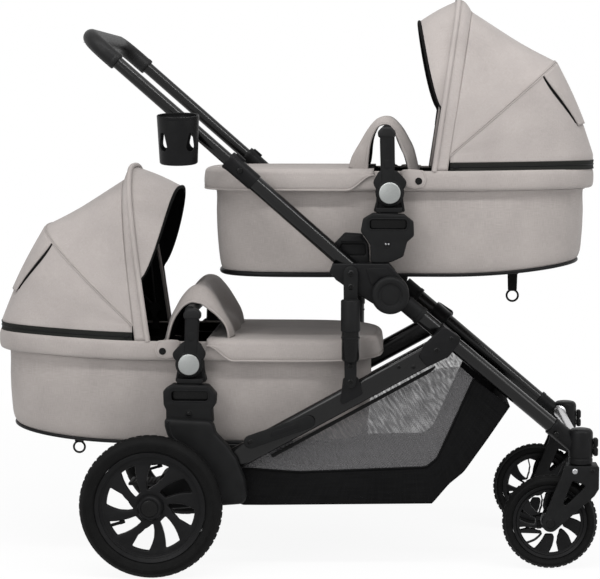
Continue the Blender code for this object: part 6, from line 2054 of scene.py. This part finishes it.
    def band_point(self, across: float, along: float) -> Vector:
        """The wide cloth band, from its rear edge to its rolled front edge."""
        foot = (self.band_foot[1] + (self.band_foot[0] - self.band_foot[1]) * along, -self.band_drop)
        crown = lerp(self.band_rear, self.band_front, along)
        length = hypot(*crown)
        grow = 1 + 0.0075 * sin(pi * along) / length
        point = self.arch(foot, (crown[0] * grow, crown[1] * grow), across)
        wide = 1 + 0.01 * sin(pi * along)
        return Vector((point.x, point.y * wide, point.z))

    def visor_point(self, across: float, along: float) -> Vector:
        """The visor, from under the band's front edge to its own edge."""
        edge = self.arch((self.band_foot[0], -self.band_drop), self.band_front, across)
        rise = squircle(pi * (1 - across))[1]
        reach = max((rise - 0.36) / 0.64, 0) ** 0.8
        du = (self.visor_tip[0] - self.band_front[0]) * reach - 0.002
        dz = (self.visor_tip[1] - self.band_front[1]) * reach
        belly = 0.003 * sin(pi * along) * reach
        tuck = 0.004 * (1 - along)
        return edge + Vector((self.facing * (du * along + tuck * 0.3), 0, dz * along - tuck * 0.6 + belly))

    def band_and_visor(self) -> None:
        """Band with its seams, visor with its black binding, and the front bow."""
        heart = self.place(self.pivot[0], 0, self.pivot[1])
        body = self.body("hood_front")
        band = Shape().cloth(self.band_point, 120, 14, (0.9, 0.05), inside=heart).done(
            f"{self.prefix}_hood_band", [HOOD_CLOTH_PAINTED_LIGHT, LINING], body, Slot.COT,
            [f"{self.prefix}_hood_front_bow"], wall=0.0026, lined=True, sharp=80)
        visor = Shape().cloth(self.visor_point, 120, 24, (0.9, 0.09), inside=heart).done(
            f"{self.prefix}_hood_visor", [HOOD_CLOTH_PAINTED_LIGHT, LINING], body, Slot.COT, wall=0.0022, lined=True,
            sharp=80)
        trims = Shape()
        edge = across_at(self.band_point, 0.9, 160)
        trims.pipe([point + (point - heart).normalized() * 0.0012 for point in edge], 0.0052, resolution=4)
        rear = across_at(self.band_point, 0.0, 160)
        trims.using(1).pipe(rear, 0.0011, resolution=2)
        trims.done(f"{self.prefix}_band_edges", [HOOD_CLOTH_PAINTED_LIGHT, THREAD], body, Slot.COT)
        line = [self.visor_point(0.08 + 0.84 * step / 120, 1.0) for step in range(121)]
        swell = [0.25 + 0.75 * sin(pi * step / 120) ** 0.5 for step in range(121)]
        Shape().pipe(line, 0.0034, resolution=3, swell=swell).done(f"{self.prefix}_visor_binding", [LINING],
            body, Slot.BLACK_CLOTH)
        crown = lerp(self.band_rear, self.band_front, 0.35)
        bow = [self.arch((0, 0), tuple(v * 0.985 for v in crown), step / 60, 0.1765) for step in range(61)]
        Shape().pipe(bow, 0.003, resolution=3).done(f"{self.prefix}_front_bow", [SATIN_PLASTIC], body,
            Slot.STEEL)

    def turn_at(self, y: float) -> float:
        """The share of the way over the hood's arches at a distance from the middle plane."""
        across = y / self.hood_half
        return 1 - atan2((1 - abs(across) ** 3) ** (1 / 3), across) / pi

    def vent_flap(self) -> None:
        """Rear window of black net, and the cloth flap that hangs over it."""
        heart = self.place(self.pivot[0], 0, self.pivot[1])
        bend = self.hood_bend("cot", "hood_middle", 20.9)

        def over(across: float, along: float, wider: float, lift: float) -> Vector:
            """A point over the canopy, on a panel that narrows towards its loose lower edge."""
            half = 0.139 - 0.03 * along**1.5 + wider
            point = self.rear_canopy(self.turn_at((2 * across - 1) * half), 0.985 - 0.59 * along)
            return point + (point - heart).normalized() * lift

        def opening(across: float, along: float) -> Vector:
            """The net, just proud of the canopy and a little wider than the flap."""
            return over(across, 0.95 * along, 0.002 + 0.003 * sin(pi * along), 0.0009)

        net = Shape().cloth(opening, 40, 24, (0.28, 0.13), inside=heart).done(f"{self.prefix}_vent_net",
            [LINING], bend, Slot.BLACK_CLOTH, wall=0.0006)

        def flap(across: float, along: float) -> Vector:
            """The flap, from the seam down to its loose lower edge."""
            return over(across, along, 0.0, 0.0025 + 0.0015 * along)

        made = Shape().cloth(flap, 40, 30, (0.27, 0.12), inside=heart).done(f"{self.prefix}_vent_flap",
            [HOOD_CLOTH_PAINTED_LIGHT, LINING], bend, Slot.COT, wall=0.0018, lined=True)

    def carry_handle(self) -> None:
        """Two arms with hub covers and silver discs, and the covered bar between them."""
        shape = Shape()
        end = self.bar_z
        top = self.at(self.bar_u, end)
        for side, _ in SIDES:
            arm = self.outline((-0.0178, 0.01), (0.012, 0.01), (0.009, 0.05), (0.0082, end - 0.0215),
                (0.007, end - 0.0035), (-0.0192, end - 0.0035), (-0.0197, end - 0.0215), (-0.0182, 0.05))
            shape.plate(arm, 0.006, side, (0.2143, 0.234), 0.0055)
            collar = self.outline((-0.0232, end - 0.015), (0.0104, end - 0.015), (0.011, end - 0.003),
                (0.003, end + 0.006), (-0.0158, end + 0.006), (-0.0238, end - 0.003))
            shape.using(1).plate(collar, 0.008, side, (0.212, 0.2352), 0.0045)
            button = self.outline((-0.011, 0.064), (0.001, 0.064), (0.001, 0.05), (-0.005, 0.045),
                (-0.011, 0.05))
            shape.using(0).plate(button, 0.003, side, (0.232, 0.2348), 0.001)
            cover = self.outline((-0.0205, 0.044), (0.013, 0.044), (0.0345, 0.021), (0.027, 0.006),
                (-0.027, 0.006), (-0.033, 0.021))
            shape.plate(cover, 0.012, side, (0.2143, 0.232), 0.003)
            shape.disc(side, self.hub, [(0.0074, 0.2145), (0.0262, 0.2145), (0.0268, 0.2155),
                (0.0268, 0.2298), (0.0263, 0.2309), (0.0232, 0.2343), (0.0224, 0.2345), (0.0218, 0.2335),
                (0.0, 0.2335)], 64)
            shape.using(2).disc(side, self.hub, [(0, 0.233), (0.0205, 0.233), (0.021, 0.234),
                (0.021, 0.2362), (0.0203, 0.2371), (0.019, 0.2375), (0, 0.2375)], 64)
            shape.using(0)
        line = [Vector((top[0], -0.218 + 0.436 * step / 40, top[1])) for step in range(41)]
        shape.using(1).pipe(line, 0.0105, resolution=5)
        shape.done(f"{self.prefix}_carry_handle_moulded", [MATTE_PLASTIC, LEATHER, SATIN_SILVER],
            self.body("carry_handle"), Slot.PLASTIC, [f"{self.prefix}_carry_handle"])

    def handle_flap(self) -> None:
        """Wind flap folded up over the carry handle's bar, with soft folds."""
        profile = ((-0.08, 0.046), (-0.0735, 0.07), (-0.061, 0.096), (-0.0465, 0.121), (-0.028, 0.142),
            (-0.011, 0.1485), (0.0045, 0.1445), (0.021, 0.126), (0.035, 0.1), (0.046, 0.076),
            (0.056, 0.036))
        heart, (droop, tuck, turn_in) = (-0.012, 0.03), self.flap_curl

        def sheet(across: float, along: float) -> Vector:
            """The flap, from the apron over the bar and down towards the head."""
            u, z = through(profile, along)
            side = 2 * across - 1
            hang = smooth((along - 0.5) / 0.35)
            rise = smooth((0.42 - along) / 0.35)
            waves = sin(2 * pi * 3.5 * across) + 0.4 * sin(2 * pi * 8.1 * across + 0.8)
            fold = 0.0042 * hang * waves
            crease = 0.0024 * rise * sin(2 * pi * 2.3 * across + 9 * along)
            amount = droop + (tuck - droop) * rise + (turn_in - droop) * hang
            curl = amount * smooth((abs(side) - 0.78) / 0.22)
            waist = self.flap_waist * (1 - smooth(abs(side) / 0.75)) * sin(2 * pi * min(along, 0.75)) ** 2
            u, z = lerp((u, z), heart, curl + waist)
            y = self.flap_half * side * (1 - 0.012 * cos(3 * pi * along))
            return self.place(u + fold - crease, y, z + fold * 0.4 + crease * 0.5)

        inside = self.place(-0.015, 0, 0.04)
        bend = Bend(self.body("cot"), self.body("carry_handle"), tuple(self.place(0, 0, 0.045)),
            tuple(self.place(0, 0, 0.115)))
        made = Shape().cloth(sheet, 110, 70, (0.34, 0.27), inside=inside).done(f"{self.prefix}_wind_flap",
            [COT_CLOTH, LINING], bend, Slot.COT, [f"{self.prefix}_handle_flap"], wall=0.0026, lined=True,
            sharp=80)
        hems = Shape()
        for across in (0.0, 1.0):
            hems.pipe([sheet(across, step / 80) for step in range(81)], 0.0021, resolution=3)
        for across in (0.028, 0.972):
            line = [sheet(across, step / 260) for step in range(261)]
            hems.using(1).stitches(line, inside, 0.0038)
        hems.using(0).pipe(across_at(sheet, 1.0, 80), 0.0022, resolution=3)
        hems.done(f"{self.prefix}_wind_flap_hems", [COT_CLOTH, THREAD], bend, Slot.COT)


@dataclass
class Studio:
    """Camera, lights, white backdrop and pale floor."""

    camera_at: tuple[float, float, float] = (0.2126, -4.056, 0.902)
    aim: tuple[float, float, float] = (0.0105, 0.0, 0.536)
    lens: float = 118.4
    world_light: float = 0.42

    def build(self) -> None:
        """Set up the whole studio."""
        scene = bpy.context.scene
        scene.view_settings.view_transform = "Standard"
        camera = bpy.data.objects.new("camera", bpy.data.cameras.new("camera"))
        scene.collection.objects.link(camera)
        camera.location = self.camera_at
        toward = Vector(self.aim) - Vector(self.camera_at)
        camera.rotation_euler = toward.to_track_quat("-Z", "Y").to_euler()
        camera.data.lens = self.lens
        camera.data.sensor_width = 36.0
        camera.data.clip_end = 100.0
        scene.camera = camera
        self.lamp("top_softbox", (0.1, -0.5, 3.0), (0.0, 0.0, 0.4), (2.6, 1.2), 12.0)
        self.lamp("front_softbox", (-1.6, -3.2, 1.9), (0.0, 0.0, 0.5), (1.6, 1.6), 38.0)
        self.lamp("side_softbox", (3.0, -1.6, 1.7), (0.1, 0.0, 0.5), (1.2, 1.6), 17.0)
        self.lamp("strip_light", (0.5, -1.5, 2.8), (0.5, -0.2, 0.6), (5.8, 0.2), 84.0)
        self.world()
        self.floor()

    def lamp(self, name: str, at: Sequence[float], aim: Sequence[float], size: Pair, power: float) -> None:
        """Hang one softbox.

        Args:
            name: Its name.
            at: Where it hangs.
            aim: What it points at.
            size: Its width and height.
            power: Its power, in watts.
        """
        light = bpy.data.lights.new(name, "AREA")
        light.shape = "RECTANGLE"
        light.size, light.size_y = size
        light.energy = power
        lamp = bpy.data.objects.new(name, light)
        lamp.location = at
        lamp.rotation_euler = (Vector(aim) - Vector(at)).to_track_quat("-Z", "Y").to_euler()
        bpy.context.scene.collection.objects.link(lamp)

    def seen(self, bench: NodeBench) -> bpy.types.NodeSocket:
        """1 for camera, mirror and glass rays, and 0 for the rest."""
        path = bench.node("ShaderNodeLightPath")
        camera_or_glossy = bench.maths("MAXIMUM", path.outputs["Is Camera Ray"],
            path.outputs["Is Glossy Ray"])
        return bench.maths("MAXIMUM", camera_or_glossy, path.outputs["Is Transmission Ray"])

    def world(self) -> None:
        """White for the eye and for reflections, and a plain soft light for the rest."""
        world = bpy.data.worlds.new("studio")
        world.use_nodes = True
        bpy.context.scene.world = world
        bench = NodeBench(world.node_tree)
        world.node_tree.nodes.clear()
        white = bench.node("ShaderNodeBackground", {"Color": (1, 1, 1, 1), "Strength": 1.0})
        soft = bench.node("ShaderNodeBackground", {"Color": (0.97, 0.98, 1, 1),
            "Strength": self.world_light})
        mixed = bench.node("ShaderNodeMixShader", {0: self.seen(bench), 1: soft.outputs[0],
            2: white.outputs[0]})
        bench.node("ShaderNodeOutputWorld", {0: mixed.outputs[0]})

    def floor(self) -> None:
        """Pale floor that keeps a soft shadow."""
        material = bpy.data.materials.new("studio_floor")
        material.use_nodes = True
        bench = NodeBench(material.node_tree)
        material.node_tree.nodes.clear()
        tone = bench.effect(Effects.mottle(), Vector=bench.coordinates(Mapping.SPACE), Size=0.8)["Shade"]
        colour = bench.mix(tone, (0.9, 0.9, 0.9), (0.93, 0.93, 0.93))
        matte = bench.node("ShaderNodeBsdfDiffuse", {"Color": colour})
        white = bench.node("ShaderNodeEmission", {"Color": (1, 1, 1, 1), "Strength": 1.0})
        place = bench.coordinates(Mapping.SPACE)
        reach = bench.node("ShaderNodeVectorMath", {0: place}, operation="LENGTH").outputs["Value"]
        share = bench.maths("MULTIPLY", self.seen(bench), bench.spread(reach, 0.92, 1.0, 0.9, 2.4))
        mixed = bench.node("ShaderNodeMixShader", {0: share, 1: matte.outputs[0], 2: white.outputs[0]})
        bench.node("ShaderNodeOutputMaterial", {0: mixed.outputs[0]})
        part = bmesh.new()
        bmesh.ops.create_grid(part, x_segments=1, y_segments=1, size=14.0)
        mesh = bpy.data.meshes.new("studio_floor")
        part.to_mesh(mesh)
        part.free()
        mesh.materials.append(material)
        floor = bpy.data.objects.new("studio_floor", mesh)
        bpy.context.scene.collection.objects.link(floor)


def main() -> None:
    """Build the pram on its frame."""
    logging.basicConfig(level=logging.INFO, format="%(message)s")
    Studio().build()
    FrontFrame().build()
    UpperFrame().build()
    Handle().build()
    SideStrut().build()
    RearFrame().build()
    rear = Wheel("rear", LAYOUT.rear_axle, 0.3045, 0.14, 0.108, 0.047, 0.027, (0.2625, 0.327),
        (0.0344, 0.0862), valve=True, capped=True)
    front = Wheel("front", LAYOUT.front_axle, LAYOUT.caster_out, 0.094, 0.0735, 0.034, 0.017,
        (0.166, 0.204), (0.0288, 0.064), phase=-46.0, cap_radius=0.0115, blocks=46)
    for side, word in SIDES:
        rear.build(side, word)
        front.build(side, word)
        Caster().build(side, word, front)
    Carrycot("upper", (0.196, 0.745), 1).build()
    Carrycot("lower", (-0.196, 0.408), -1, flap_curl=(0.27, 0.1, 0.1), head_rise=0.011, visor_tip=(-0.0745,
        0.268), middle_crown=(0.196, 0.191), band_rear=(0.032, 0.287), ring_drop=0.039, rear_crown=(0.289,
        0.0), bar_z=0.104, bar_u=-0.001).build()


if __name__ == "__main__":
    main()
